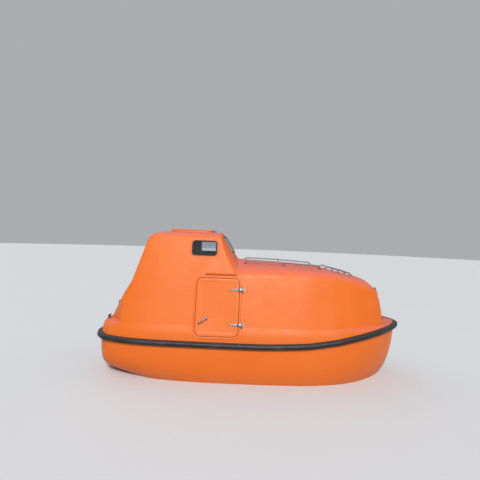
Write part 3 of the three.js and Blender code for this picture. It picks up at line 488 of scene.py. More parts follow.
def spun(profile, sides):
    """Points of a profile of radius and height at each turn round local Z, as (profile, sides, 3)."""
    profile = np.asarray(profile, float)
    angle = turns(sides)
    radius, height = profile[:, :1], np.repeat(profile[:, 1:], sides, 1)
    return np.stack([radius * np.cos(angle), radius * np.sin(angle), height], -1)


def turned(profile, sides=28):
    """Body turned round local Z, from a profile that starts and ends on the axis."""
    return capped(spun(profile, sides))


def turned_ring(profile, sides=28):
    """Ring turned round local Z, from a closed profile whose last point leads back to its first."""
    return ringed(spun(profile, sides))


def rod(low, high, radius, edge=0.0015):
    """Round bar along local Z between two heights, with rounded edges."""
    rounding = rounded_edge(low, high, edge, 4) + (radius, 0)
    return turned(np.vstack([[AXIS, low], rounding, [AXIS, high]]))


def bolt_head(place, radius):
    """Domed bolt head on its washer."""
    profile = radius * np.array([
        [0, 0], [1.5, 0], [1.5, 0.22], [1, 0.26], [0.92, 0.6], [0.6, 0.92], [0, 1.05],
    ])
    profile[:2, 1] = -BOLT_SUNK
    profile[(0, -1), 0] = AXIS
    return placed(turned(profile, 14), shift(*place))


def square_to(path):
    """Directions beside and above a path; beside lies in the plane that fits the path best."""
    along = np.gradient(path, axis=0)
    along /= np.linalg.norm(along, axis=1, keepdims=True)
    above = np.linalg.svd(path - path.mean(0))[2][2]
    beside = np.cross(above, along)
    beside /= np.linalg.norm(beside, axis=1, keepdims=True)
    return beside, np.cross(along, beside)


def tube(path, radius, sides=14, domed=True):
    """Round bar: circles set square to the path, which shrink to half spheres at its ends."""
    path = np.asarray(path, float)
    scale = np.ones(len(path))
    if domed:
        angle = np.linspace(0.15, math.pi / 2, 5)
        way = radius * (1 - np.cos(angle))[:, None]
        first, last = path[1] - path[0], path[-2] - path[-1]
        head = path[0] + first / np.linalg.norm(first) * way
        tail = (path[-1] + last / np.linalg.norm(last) * way)[::-1]
        path = np.vstack([head, path[1:-1], tail])
        scale = np.concatenate([np.sin(angle), scale[1:-1], np.sin(angle)[::-1]])
    beside, above = square_to(path)
    turn = turns(sides)[None, :, None]
    reach = (radius * scale)[:, None, None]
    return capped(path[:, None] + reach * (np.cos(turn) * beside[:, None] + np.sin(turn) * above[:, None]))


# Frames on the faces: local X along the face, local Y up its slope, local Z out of it

def face_frame(origin, along, up):
    """Frame of three square directions at an origin."""
    ex = np.asarray(along, float) / np.linalg.norm(along)
    ey = np.asarray(up, float) / np.linalg.norm(up)
    matrix = np.eye(4)
    matrix[:3, 0], matrix[:3, 1], matrix[:3, 2], matrix[:3, 3] = ex, ey, np.cross(ex, ey), origin
    return matrix


def shift(x, y, z):
    """Frame at a place, without a turn."""
    matrix = np.eye(4)
    matrix[:3, 3] = (x, y, z)
    return matrix


def upright(x, y=0.0, z=0.0):
    """Frame at a place, with local Z up and local X to the bow."""
    return face_frame((x, y, z), (1, 0, 0), (0, 1, 0))


def fore_and_aft(x, y, z):
    """Frame at a place, with local Z to the bow and local X to port."""
    return face_frame((x, y, z), (0, 1, 0), (0, 0, 1))


def centre_plane(x, z):
    """Frame on the centreline, with local X to the bow and local Y up."""
    return face_frame((x, 0, z), (1, 0, 0), (0, 0, 1))


def side_frame(x, z):
    """Frame on the starboard side of the canopy, which leans in by the tumblehome."""
    return face_frame((x, -(SIDE_FOOT - TUMBLEHOME * (z - LEDGE_HEIGHT)), z), (1, 0, 0), (0, TUMBLEHOME, 1))


def crown_point(x):
    """Point of the canopy's crown at a place along x."""
    return np.array([x, 0, np.interp(x, CANOPY_LINES[:, 0], CANOPY_LINES[:, 3])])


def end_frame(low_x, high_x, y, share, facing):
    """Frame on a face that crosses the centreline, between two rows of the canopy's table."""
    low = crown_point(low_x)
    up = crown_point(high_x) - low
    return face_frame(low + share * up + (0, y, 0), (0, facing, 0), up)


# Frames of the openings. On the ends: two rows of the table, place across, share of the way up, facing
DOOR_FRAME = side_frame(DOOR["x"], DOOR["z"])
SIDE_WINDOW_FRAME = side_frame(SIDE_WINDOW["x"], SIDE_WINDOW["z"])
AFT_WINDOW_FRAME = end_frame(-2.008, -1.805, 0, 0.6, -1)
FORE_HATCH_FRAME = end_frame(2.150, 2.105, 0, 0.62, 1)
AFT_HATCH_FRAME = end_frame(-2.287, -2.008, 0, 0.5, -1)
ROOF_HATCH_FRAME = face_frame(crown_point(-1.125), (0, -1, 0), (1, 0, 0))


def front_window_frame():
    """Frame on the windscreen, set back a little and turned to follow its crown."""
    yaw, back = FRONT_WINDOW_TURN["yaw"], FRONT_WINDOW_TURN["back"]
    turn = np.eye(4)
    turn[0, 0] = turn[2, 2] = math.cos(yaw)
    turn[2, 0], turn[0, 2] = math.sin(yaw), -math.sin(yaw)
    turn[2, 3] = -back
    return end_frame(-0.310, -0.600, FRONT_WINDOW["y"], 0.56, 1) @ turn


FRONT_WINDOW_FRAME = front_window_frame()


def opening_outline(size, steps=9):
    """Outline of an opening."""
    return rounded_rectangle(size["width"], size["height"], size["radius"], steps)


def look_along(way):
    """Frame whose local Z points back along a way, with local Y as far up as it can be."""
    back = -np.asarray(way, float)
    right = np.cross((0, 0, 1), back)
    return face_frame((0, 0, 0), right, np.cross(back, right))


# Finishes

# Limits of the noise that give an even grain
FINE_GRAIN = (0.3, 0.7)


class Finish:
    """A material, with the few nodes that its pattern needs."""

    def __init__(self, name, base, roughness, **sockets):
        self.material = bpy.data.materials.new(f"{name}_finish")
        self.material.use_nodes = True
        self.nodes = self.material.node_tree.nodes
        self.links = self.material.node_tree.links
        self.shader = self.nodes["Principled BSDF"]
        self.shader.inputs["Base Color"].default_value = (*base, 1)
        self.shader.inputs["Roughness"].default_value = roughness
        for socket, value in sockets.items():
            self.shader.inputs[socket.replace("_", " ")].default_value = value
        self.place = self.nodes.new("ShaderNodeTexCoord")

    def ramp(self, value, low, high):
        """Value spread to 0 at low and 1 at high, and kept between them."""
        node = self.nodes.new("ShaderNodeMapRange")
        node.inputs["From Min"].default_value = low
        node.inputs["From Max"].default_value = high
        self.links.new(value, node.inputs["Value"])
        return node.outputs["Result"]

    def noise(self, scale, low, high, detail=3, stretch=(1, 1, 1)):
        """Noise on Object coordinates, from 0 at low to 1 at high."""
        mapping = self.nodes.new("ShaderNodeMapping")
        mapping.inputs["Scale"].default_value = stretch
        self.links.new(self.place.outputs["Object"], mapping.inputs["Vector"])
        noise = self.nodes.new("ShaderNodeTexNoise")
        noise.inputs["Scale"].default_value = scale
        noise.inputs["Detail"].default_value = detail
        self.links.new(mapping.outputs["Vector"], noise.inputs["Vector"])
        return self.ramp(noise.outputs["Fac"], low, high)

    def height_share(self, source, low, high):
        """Z of the surface's normal or of its place, from 0 at low to 1 at high."""
        split = self.nodes.new("ShaderNodeSeparateXYZ")
        self.links.new(self.place.outputs[source], split.inputs["Vector"])
        return self.ramp(split.outputs["Z"], low, high)

    def times(self, first, second):
        """Product of two values; the second may be a number."""
        node = self.nodes.new("ShaderNodeMath")
        node.operation = "MULTIPLY"
        self.links.new(first, node.inputs[0])
        if isinstance(second, float):
            node.inputs[1].default_value = second
        else:
            self.links.new(second, node.inputs[1])
        return node.outputs["Value"]

    def paint(self, factor, share, other):
        """Mixes another colour into the base, by a share of a factor."""
        socket = self.shader.inputs["Base Color"]
        node = self.nodes.new("ShaderNodeMix")
        node.data_type = "RGBA"
        factor_in, base_in, other_in = node.inputs["Factor"], node.inputs[6], node.inputs[7]
        if socket.is_linked:
            self.links.new(socket.links[0].from_socket, base_in)
        else:
            base_in.default_value = socket.default_value
        other_in.default_value = (*other, 1)
        self.links.new(self.times(factor, share), factor_in)
        self.links.new(node.outputs[2], socket)

    def roughen(self, factor, low, high):
        """Roughness from low to high by a factor."""
        node = self.nodes.new("ShaderNodeMapRange")
        node.inputs["To Min"].default_value = low
        node.inputs["To Max"].default_value = high
        self.links.new(factor, node.inputs["Value"])
        self.links.new(node.outputs["Result"], self.shader.inputs["Roughness"])

    def bump(self, height, distance, strength):
        """Small relief; a second call adds to the first."""
        node = self.nodes.new("ShaderNodeBump")
        node.inputs["Distance"].default_value = distance
        node.inputs["Strength"].default_value = strength
        self.links.new(height, node.inputs["Height"])
        normal = self.shader.inputs["Normal"]
        if normal.is_linked:
            self.links.new(normal.links[0].from_socket, node.inputs["Normal"])
        self.links.new(node.outputs["Normal"], normal)


def gelcoat(colours):
    """Sprayed orange gelcoat: faded, pale pink where it faces up with dust and a painted sheen of the sky,
    faint runs and scum, slight orange peel.
    """
    finish = Finish("orange_gelcoat", colours.gelcoat, 0.45, Specular_IOR_Level=0.25)
    finish.paint(finish.noise(1.3, 0.35, 0.7), 0.30, colours.faded)
    # Faces that look up get a pale pink: partly dust, partly a painted sheen that stands in for the sky's
    # reflection at a glancing view
    up = finish.height_share("Normal", 0.35, 0.95)
    finish.paint(up, 0.65, colours.dust_and_sheen)
    runs = finish.noise(9.0, 0.55, 0.80, 4, (1.0, 1.0, 0.10))
    finish.paint(runs, 0.10, (0.50, 0.10, 0.03))
    dust = finish.times(finish.noise(38.0, 0.5, 0.8, 6), up)
    finish.paint(dust, 0.25, (0.52, 0.26, 0.21))
    near_water = finish.height_share("Object", 0.22, 0.0)
    scum = finish.times(near_water, finish.noise(6.0, *FINE_GRAIN, 5, (1.0, 1.0, 0.5)))
    finish.paint(scum, 0.28, (0.36, 0.20, 0.10))
    finish.roughen(finish.noise(5.0, 0.3, 0.75, 5), 0.38, 0.54)
    finish.bump(finish.noise(160.0, *FINE_GRAIN, 1), 0.0004, 0.25)
    finish.bump(finish.noise(2.2, 0.2, 0.8, 1), 0.004, 0.35)
    return finish.material


def liner(colours):
    """Off-white gelcoat brushed over the inside, with a few stains."""
    finish = Finish("liner_gelcoat", colours.liner, 0.5)
    finish.paint(finish.noise(2.4, 0.4, 0.75, 4), 0.4, (0.50, 0.46, 0.38))
    finish.paint(finish.noise(30.0, 0.55, 0.8, 5), 0.25, (0.34, 0.31, 0.26))
    finish.roughen(finish.noise(7.0, *FINE_GRAIN, 4), 0.42, 0.66)
    finish.bump(finish.noise(60.0, *FINE_GRAIN, 3, (1.0, 1.0, 0.3)), 0.0012, 0.4)
    return finish.material


def rubber(colours):
    """Weathered black rubber: paler where it faces up, partly chalk and partly a painted sheen of light on
    its top; rubbed and scuffed along its crown.
    """
    finish = Finish("fender_rubber", colours.rubber, 0.5, Specular_IOR_Level=0.35)
    # Paler where the rubber faces up: chalking, and a painted sheen that stands in for the light's reflection
    # on the fender's top
    finish.paint(finish.height_share("Normal", 0.2, 0.9), 0.5, (0.050, 0.046, 0.046))
    scuffs = finish.noise(14.0, 0.52, 0.75, 6, (0.35, 1.0, 1.0))
    finish.paint(scuffs, 0.45, (0.060, 0.055, 0.053))
    finish.roughen(finish.noise(11.0, *FINE_GRAIN, 5), 0.38, 0.62)
    finish.bump(finish.noise(240.0, *FINE_GRAIN, 4), 0.0008, 0.5)
    return finish.material


def seal(colours):
    """Smooth black sealing rubber."""
    finish = Finish("seal_rubber", colours.rubber, 0.5, Specular_IOR_Level=0.2)
    finish.paint(finish.noise(40.0, 0.5, 0.8, 4), 0.4, (0.030, 0.028, 0.027))
    finish.bump(finish.noise(300.0, *FINE_GRAIN, 2), 0.0004, 0.3)
    return finish.material


def glass(colours):
    """Thick toughened glass with a grey-blue cast and a film of salt."""
    finish = Finish("window_glass", colours.glass, 0.02, Transmission_Weight=1.0, IOR=1.5)
    finish.roughen(finish.noise(24.0, 0.45, 0.85, 6), 0.01, 0.10)
    return finish.material


def stainless(colours):
    """Weathered stainless steel: brushed, with tea-coloured stains."""
    finish = Finish("stainless", colours.steel, 0.42, Metallic=1.0)
    finish.paint(finish.noise(26.0, 0.55, 0.8, 5), 0.45, (0.32, 0.22, 0.14))
    finish.roughen(finish.noise(60.0, *FINE_GRAIN, 5), 0.40, 0.62)
    finish.bump(finish.noise(500.0, *FINE_GRAIN, 2, (0.15, 1.0, 1.0)), 0.0002, 0.4)
    return finish.material


def bronze(colours):
    """Cast bronze dulled by seawater, green in its hollows."""
    finish = Finish("bronze", colours.bronze, 0.38, Metallic=1.0)
    finish.paint(finish.noise(14.0, 0.5, 0.72, 6), 0.55, (0.13, 0.22, 0.15))
    finish.paint(finish.noise(55.0, 0.5, 0.8, 5), 0.4, (0.20, 0.11, 0.05))
    finish.roughen(finish.noise(20.0, *FINE_GRAIN, 5), 0.28, 0.55)
    finish.bump(finish.noise(120.0, *FINE_GRAIN, 4), 0.0008, 0.5)
    return finish.material


def enamel(colours):
    """Grey-green engine enamel with oil and dust."""
    finish = Finish("engine_paint", colours.engine, 0.42, Coat_Weight=0.2)
    finish.paint(finish.noise(9.0, 0.5, 0.8, 6), 0.5, (0.05, 0.05, 0.045))
    finish.paint(finish.height_share("Normal", 0.5, 1.0), 0.25, (0.25, 0.24, 0.21))
    finish.roughen(finish.noise(16.0, *FINE_GRAIN, 4), 0.32, 0.58)
    finish.bump(finish.noise(90.0, *FINE_GRAIN, 3), 0.0008, 0.4)
    return finish.material


def plastic(colours):
    """Black moulded plastic with a fine grain."""
    finish = Finish("black_plastic", colours.plastic, 0.5)
    finish.paint(finish.noise(12.0, 0.5, 0.8, 5), 0.35, (0.055, 0.054, 0.052))
    finish.roughen(finish.noise(30.0, *FINE_GRAIN, 4), 0.42, 0.62)
    finish.bump(finish.noise(700.0, *FINE_GRAIN, 2), 0.0003, 0.5)
    return finish.material


def dial_face(colours):
    """Pale face of an instrument."""
    finish = Finish("dial_face", colours.dial, 0.35, Coat_Weight=0.8, Coat_Roughness=0.05)
    finish.paint(finish.noise(80.0, 0.5, 0.8, 3), 0.2, (0.55, 0.54, 0.48))
    return finish.material


def studio_floor(colours):
    """Plain pale floor with the faintest mottle."""
    finish = Finish("studio_floor", colours.floor, 0.75, Specular_IOR_Level=0.1)
    finish.paint(finish.noise(0.8, *FINE_GRAIN, 4), 0.12, (0.57, 0.58, 0.59))
    return finish.material


MAKERS = {
    "orange_gelcoat": gelcoat,
    "liner_gelcoat": liner,
    "fender_rubber": rubber,
    "seal_rubber": seal,
    "window_glass": glass,
    "stainless": stainless,
    "bronze": bronze,
    "engine_paint": enamel,
    "black_plastic": plastic,
    "dial_face": dial_face,
    "studio_floor": studio_floor,
}


def finish_of(name):
    """The material of that finish, made the first time it is asked for."""
    made = bpy.data.materials.get(f"{name}_finish")
    return made or MAKERS[name](bpy.context.scene.lifeboat_colours)


# Pieces

def new_mesh(name, part):
    """Mesh of a part, with doubled points merged so that seams and poles are closed."""
    points, faces = part
    mesh = bpy.data.meshes.new(name)
    mesh.from_pydata(points.tolist(), [], [corner for face in faces for corner in face.tolist()])
    body = bmesh.new()
    body.from_mesh(mesh)
    bmesh.ops.remove_doubles(body, verts=body.verts, dist=1e-6)
    bmesh.ops.dissolve_degenerate(body, edges=body.edges, dist=1e-7)
    body.to_mesh(mesh)
    body.free()
    return mesh


def new_object(name, part):
    """Object of a part, at the origin."""
    piece = bpy.data.objects.new(name, new_mesh(name, part))
    bpy.context.scene.collection.objects.link(piece)
    return piece


def applied(piece):
    """The piece with its modifiers worked into its mesh."""
    graph = bpy.context.evaluated_depsgraph_get()
    mesh = bpy.data.meshes.new_from_object(piece.evaluated_get(graph))
    piece.modifiers.clear()
    piece.data = mesh
    mesh.name = piece.name
    return piece


def boolean(piece, part, operation):
    """Joins a part to the piece or takes it away."""
    other = new_object("tool", part)
    modifier = piece.modifiers.new("boolean", "BOOLEAN")
    modifier.operation = operation
    modifier.solver = "MANIFOLD"
    modifier.object = other
    count = len(piece.data.vertices)
    applied(piece)
    if len(piece.data.vertices) in (0, count):
        raise RuntimeError(f"{operation} left {piece.name} as it was")
    bpy.data.objects.remove(other)
    return piece


def settle(piece, finishes, body="root", nodes=(), angle=32):
    """Gives a piece its finishes, shading, body and the solids it stands for."""
    piece.data.materials.clear()
    for finish in finishes:
        piece.data.materials.append(finish_of(finish))
    piece.data.shade_smooth()
    piece.data.set_sharp_from_angle(angle=math.radians(angle))
    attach(piece, body)
    if nodes:
        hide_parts(*nodes)
    return piece


def add_piece(name, part, finish, body="root", nodes=(), angle=32):
    """New piece of one finish."""
    return settle(new_object(name, part), [finish], body, nodes, angle)


def add_pair(name, part, finish, nodes=(), bodies=("root", "root"), angle=32):
    """The starboard piece and its mirror image to port."""
    for side, shape, body in zip(("starboard", "port"), (part, mirrored(part)), bodies):
        stands_for = [f"{node}_{side}" for node in nodes]
        add_piece(f"{name}_{side}_looks", shape, finish, body, stands_for, angle)


def paint_inside(piece, inside):
    """Second finish on the faces for which the function of their centres and normals holds."""
    mesh = piece.data
    count = len(mesh.polygons)
    centres, normals = np.empty(count * 3), np.empty(count * 3)
    mesh.polygons.foreach_get("center", centres)
    mesh.polygons.foreach_get("normal", normals)
    chosen = inside(centres.reshape(-1, 3), normals.reshape(-1, 3))
    mesh.polygons.foreach_set("material_index", chosen.astype(np.int32))
    mesh.update()


def refined(node, width, finish):
    """Copy of a solid of the frame: corners merged, flat faces made whole and edges rounded by a width."""
    piece = bpy.data.objects.new(f"{node}_looks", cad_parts[node].data.copy())
    bpy.context.scene.collection.objects.link(piece)
    shape = bmesh.new()
    shape.from_mesh(piece.data)
    bmesh.ops.remove_doubles(shape, verts=shape.verts, dist=1e-5)
    bmesh.ops.dissolve_limit(shape, angle_limit=math.radians(0.5), verts=shape.verts, edges=shape.edges)
    shape.to_mesh(piece.data)
    shape.free()
    bevel = piece.modifiers.new("bevel", "BEVEL")
    bevel.width = width
    bevel.segments = 3
    bevel.limit_method = "ANGLE"
    bevel.angle_limit = math.radians(30)
    applied(piece)
    return settle(piece, [finish], nodes=[node])


# Surfaces of hull and canopy

# Rows along and steps from bottom to rail, radius of the rounded ends, and what the bilge adds to fullness
HULL_ROWS = 150
HULL_STEPS = 34
CANOPY_ROWS = 240
END_ROUND = 0.012
BILGE = 0.8


def section_breadth(beam, fullness, rise):
    """Half breadth of the hull at a rise from bottom to rail.

    It is the beam times (1 - (1 - rise) to the power fullness + bilge) to the power of one over the fullness.
    """
    return beam * (1 - (1 - rise) ** (fullness + BILGE)) ** (1 / fullness)


def hull_half(x, inset):
    """Half section from the keel to the rail, as (stations, points, y and z).

    Height climbs with the square of the step from bottom to rail.
    """
    beam, rail, bottom, fullness = (line[:, None] for line in smooth_rows(HULL_LINES, x))
    bottom = bottom + inset * 1.2
    rise = np.linspace(0, 1, HULL_STEPS + 1)[None] ** 2
    y = section_breadth(beam - inset, fullness, rise)
    return np.stack([y, bottom + rise * (rail - bottom)], -1)


def at_stations(x, sections):
    """Sections of y and z set at their places along x."""
    place = np.broadcast_to(x[:, None, None], sections.shape[:2] + (1,))
    return np.concatenate([place, sections], 2)


def full_rings(x, half):
    """Rings from the starboard edge over the centreline to the port edge."""
    return at_stations(x, np.concatenate([half[:, :0:-1] * (-1, 1), half], 1))


def close_ends(rings, ends, level):
    """Adds rounded ends: rows that shrink along a quarter circle, then the edge line at the rail's level."""
    angle = np.linspace(0, math.pi / 2, 5)[1:, None]
    shrink = END_ROUND * (1 - np.cos(angle))
    short = END_ROUND * (1 - np.sin(angle))

    def end_rows(ring, end, facing):
        """Rows from a ring to its end, and the edge line."""
        rail = level(end)
        beam = np.abs(ring[:, 1]).max()
        depth = np.abs(ring[:, 2] - rail).max()
        x = np.broadcast_to(end - facing * short, (len(angle), len(ring)))
        y = ring[:, 1] * (1 - shrink / beam)
        z = rail + (ring[:, 2] - rail) * (1 - shrink / depth)
        rows = np.stack([x, y, z], -1)
        edge = rows[-1:].copy()
        edge[..., 2] = rail
        return np.vstack([rows, edge])

    stern = end_rows(rings[0], ends[0], -1)[::-1]
    bow = end_rows(rings[-1], ends[1], 1)
    return np.vstack([stern, rings, bow])


def between_ends(share, ends):
    """Places between two rounded ends, by a share from 0 to 1."""
    start, end = ends
    return start + END_ROUND + share * (end - start - 2 * END_ROUND)


def rail_level(x):
    """Height of the rail at a place."""
    return float(smooth_rows(HULL_LINES, np.array([x]))[1][0])


def hull_skin(inset, ends):
    """Skin of the hull between two ends, moved in by an inset. Its rows are closer at the ends."""
    even = np.linspace(0, 1, HULL_ROWS)
    share = 0.55 * (0.5 - 0.5 * np.cos(math.pi * even)) + 0.45 * even
    x = between_ends(share, ends)
    return close_ends(full_rings(x, hull_half(x, inset)), ends, rail_level)


def waterline(count):
    """Starboard and port points of the hull at the water, where the section's height is zero."""
    x = np.linspace(-WATERLINE_END, WATERLINE_END, count)
    beam, rail, bottom, fullness = smooth_rows(HULL_LINES, x)
    rise = np.clip(-bottom / (rail - bottom), 1e-4, 1)
    y = section_breadth(beam, fullness, rise) - WATERLINE_LAP
    return np.stack([x, -y], -1), np.stack([x, y], -1)


def canopy_columns(x):
    """Columns of the canopy's table at places: fair curves along the foredeck, straight lines elsewhere."""
    straight = [np.interp(x, CANOPY_LINES[:, 0], column) for column in CANOPY_LINES.T[1:]]
    return np.where((x > FAIR[0]) & (x < FAIR[1]), smooth_rows(CANOPY_LINES, x), straight)


def canopy_lines():
    """Columns of the canopy's table as smooth lines, and their places along the profile.

    The table is followed by the way along x and crown. Each column is averaged over a bell-shaped
    window, which rounds the knuckles and leaves the straight stretches as they are. Rows are closer
    where the lines bend.
    """
    x, crown = CANOPY_LINES[:, 0], CANOPY_LINES[:, 3]
    way = np.concatenate([[0], np.hypot(np.diff(x), np.diff(crown)).cumsum()])
    fine = np.linspace(0, way[-1], 4000)
    places = np.interp(fine, way, x)
    lines = np.vstack([places, canopy_columns(places)]).T
    reach = int(bpy.context.scene.lifeboat_sizes.knuckle / fine[1])
    window = np.hanning(2 * reach + 1)
    window /= window.sum()
    wide = np.pad(lines, ((reach, reach), (0, 0)), mode="reflect", reflect_type="odd")
    lines = np.stack([np.convolve(column, window, "valid") for column in wide.T], 1)
    bend = np.abs(np.gradient(np.gradient(lines[:, (0, 1, 3)], axis=0), axis=0)).sum(1)
    weight = (1 + 9 * bend / bend.max()).cumsum()
    at = np.interp(np.linspace(weight[0], weight[-1], CANOPY_ROWS), weight, fine)
    return np.stack([np.interp(at, fine, column) for column in lines.T], 0)


def canopy_half(lines, inset):
    """Half section from the crown to the rail, as (stations, points, y and z).

    The top is a parabola in y, the corner a quadratic curve, then come the leaning side, the fillet
    at its foot, the ledge and the sloping rim.
    """
    sizes = bpy.context.scene.lifeboat_sizes
    x, foot, side, crown, corner, ledge, rim = lines
    beam, rail, _, _ = smooth_rows(HULL_LINES, x)
    rail_y = beam - inset
    ledge = ledge - inset
    rim_top = rail_y - rim
    foot = np.minimum(foot - inset, rim_top - 0.0005)
    side = np.maximum(side - inset, ledge + 0.001)
    crown = np.maximum(crown - inset, side + 0.001)
    corner = np.minimum(corner, (side - ledge) / 2)
    edge = foot - TUMBLEHOME * (side - ledge)
    top_y = np.linspace(0, 1, 16)[None] * (edge - corner)[:, None]
    top_z = crown[:, None] - (crown - side)[:, None] * (top_y / edge[:, None]) ** 2

    def pair(y, z):
        """Points of the section from their y and z."""
        return np.stack([y, z], -1)

    shoulder = pair(edge + TUMBLEHOME * corner, side - corner)
    arc = bezier(pair(top_y[:, -1], top_z[:, -1]), pair(edge, side), shoulder, 11)
    foot_point = pair(foot, ledge)
    rim_point = pair(rim_top, ledge)
    middle = pair(rail_y - 0.4 * rim, rail + 0.62 * (ledge - rail))
    end = pair(rail_y, rail + SEAM)
    foot_curve = fillet(shoulder, foot_point, rim_point, sizes.foot, 6)
    rim_curve = fillet(foot_point, rim_point, middle, sizes.rim, 6)
    middle_curve = fillet(rim_point, middle, end, sizes.rim * 2, 5)
    share = np.linspace(0, 1, 7)[None, 1:-1, None]
    flank = shoulder[:, None] * (1 - share) + foot_curve[:, :1] * share
    return np.concatenate(
        [pair(top_y, top_z), arc[:, 1:], flank, foot_curve, rim_curve, middle_curve, end[:, None]], 1
    )


def canopy_skin(lines, inset, ends):
    """Skin of the canopy between two ends, moved in by an inset.

    Inside, every line is the lowest within reach fore and aft, so that the wall keeps its thickness
    on a slope.
    """
    x = lines[0]
    at = between_ends((x - x[0]) / (x[-1] - x[0]), ends)
    reach = inset * 0.7
    around = at + np.array([[-reach], [0], [reach]])
    lowest = [np.interp(around, x, line).min(0) for line in lines[1:]]
    rings = full_rings(at, canopy_half([at, *lowest], inset))
    return close_ends(rings, ends, lambda place: rail_level(place) + SEAM)


def top_height(x, y):
    """Height of the canopy's top above points of the plan."""
    foot, side, crown, _, ledge, _ = canopy_columns(np.atleast_1d(x))
    edge = foot - TUMBLEHOME * (side - ledge)
    return (crown - (crown - side) * (y / edge) ** 2).reshape(np.shape(x))


def deck_frame(x, y):
    """Frame on the canopy's top: local Z square to it, from its slopes along and across."""
    step = 0.002
    along = np.array([2 * step, 0, top_height(x + step, y) - top_height(x - step, y)])
    across = np.array([0, 2 * step, top_height(x, y + step) - top_height(x, y - step)])
    return face_frame((x, y, top_height(x, y)), along, np.cross(np.cross(along, across), along))


def ledge_height(x):
    """Height of the ledge at a place."""
    return float(np.interp(x, CANOPY_LINES[:, 0], CANOPY_LINES[:, 5]))


def bottom_height(x, y):
    """Height of the hull's bottom above points of the plan: the section's formula solved for its rise."""
    beam, rail, bottom, fullness = smooth_rows(HULL_LINES, x)
    rise = 1 - (1 - (y / beam) ** fullness) ** (1 / (fullness + BILGE))
    return bottom + rise * (rail - bottom)


def rim_profile(size, depth):
    """Closed profile of a raised rim: growth from the opening's edge and height above the face."""
    proud, edge = size["proud"], 0.004
    corner = edge * 0.3
    return [
        (-0.001, -depth), (-0.001, proud - edge), (corner, proud - corner), (edge, proud),
        (RIM_WIDTH - edge, proud), (RIM_WIDTH - corner, proud - corner), (RIM_WIDTH, proud - edge),
        (RIM_WIDTH + 0.001, 0.002), (RIM_WIDTH + 0.004, -0.002), (RIM_WIDTH + 0.004, -depth),
    ]


# Openings: frame, size, depth of the rim behind the face, and whether there is one on each side
OPENINGS = (
    (DOOR_FRAME, DOOR, 0.030, True),
    (SIDE_WINDOW_FRAME, SIDE_WINDOW, 0.020, True),
    (FRONT_WINDOW_FRAME, FRONT_WINDOW, 0.030, True),
    (AFT_WINDOW_FRAME, AFT_WINDOW, 0.030, False),
    (FORE_HATCH_FRAME, FORE_HATCH, CANOPY_WALL, False),
    (AFT_HATCH_FRAME, AFT_HATCH, CANOPY_WALL, False),
    (ROOF_HATCH_FRAME, ROOF_HATCH, CANOPY_WALL, False),
)
# How far a cut reaches behind the face and in front of it
HOLE = {"from": -0.12, "to": 0.08}


def shaft_bore():
    """Bar that cuts the bore of the propeller's shaft."""
    bar = rod(SHAFT_BORE["from"], SHAFT_BORE["to"], SHAFT_BORE["radius"])
    return placed(bar, fore_and_aft(0, 0, SHAFT_HEIGHT))


class LIFEBOAT_OT_hull(bpy.types.Operator):
    """Hull moulding with its engine bearers, and the skeg below it"""

    bl_idname = "lifeboat.hull"
    bl_label = "Hull"

    def execute(self, context):
        outer = hull_skin(0.0, (STERN, STEM))
        inner = hull_skin(HULL_WALL, HULL_INSIDE)
        piece = new_object("hull_moulding", shell(outer, inner))
        bearer = self.bearer()
        boolean(piece, combine(bearer, mirrored(bearer)), "UNION")
        reach = STOCK_BORE["reach"]
        stock = placed(rod(-reach, reach, STOCK_BORE["radius"]), upright(PROPELLER_X))
        boolean(piece, combine(shaft_bore(), stock), "DIFFERENCE")
        settle(piece, ["orange_gelcoat", "liner_gelcoat"], nodes=["hull"])
        paint_inside(piece, self.inside)
        self.skeg()
        return {"FINISHED"}

    @staticmethod
    def inside(centres, normals):
        """Faces that look towards a line along the middle of the hull, below the rail."""
        x, y, z = centres.T
        middle, top, margin = 0.65, 0.62, 0.010
        towards = normals[:, 1] * y + normals[:, 2] * (z - middle)
        within = (x > HULL_INSIDE[0] - margin) & (x < HULL_INSIDE[1] + margin)
        return (towards < 0) & within & (z < top)

    def bearer(self):
        """Bearer under the engine: its underside follows the bottom, half way into the hull's wall."""
        x = np.linspace(*BEARER["x"], 9)
        inner, outer = BEARER["y"]
        level = 0 * x + BEARER["top"]
        low_inner, low_outer = (bottom_height(x, y) + HULL_WALL / 2 for y in (inner, outer))
        corners = ((inner, low_inner), (outer, low_outer), (outer, level), (inner, level))
        return capped(np.stack([np.stack([x, 0 * x + y, z], -1) for y, z in corners], 1))

    def skeg(self):
        """Fin under the keel: half thickness swells towards the hull, and its nose is drawn in and up."""
        sunk, swell, foot = 0.012, 0.035, 0.006
        x = np.linspace(SKEG["aft"], SKEG["tip"], 90)
        top = smooth_rows(HULL_LINES, x)[2] + sunk
        nose = np.clip((x - SKEG["fore"]) / (SKEG["tip"] - SKEG["fore"]), 0, 1)
        bottom = SKEG["bottom"] + (top - SKEG["bottom"] - sunk) * nose ** 1.4
        thinning = np.sqrt(np.clip(1 - nose ** 2, 0.02, 1))
        top, bottom, width = top[:, None], bottom[:, None], SKEG["half"] * thinning[:, None]
        z = top + (bottom - top) * np.linspace(0, 1, 14)[None]
        y = width + swell * np.exp(-(top - z) / swell) * thinning[:, None]
        edge_y, edge_z = np.array([[1, 0.0], [0.93, -0.6], [0.78, -1.0]]).T
        half_y = np.hstack([y[:, :-1], width * edge_y])
        half_z = np.hstack([z[:, :-1], bottom + foot + foot * edge_z])
        half = np.stack([half_y, half_z], -1)
        sections = np.hstack([half, half[:, ::-1] * (-1, 1)])
        piece = new_object("skeg_moulding", capped(at_stations(x, sections)))
        boolean(piece, shaft_bore(), "DIFFERENCE")
        settle(piece, ["orange_gelcoat"], nodes=["skeg"])


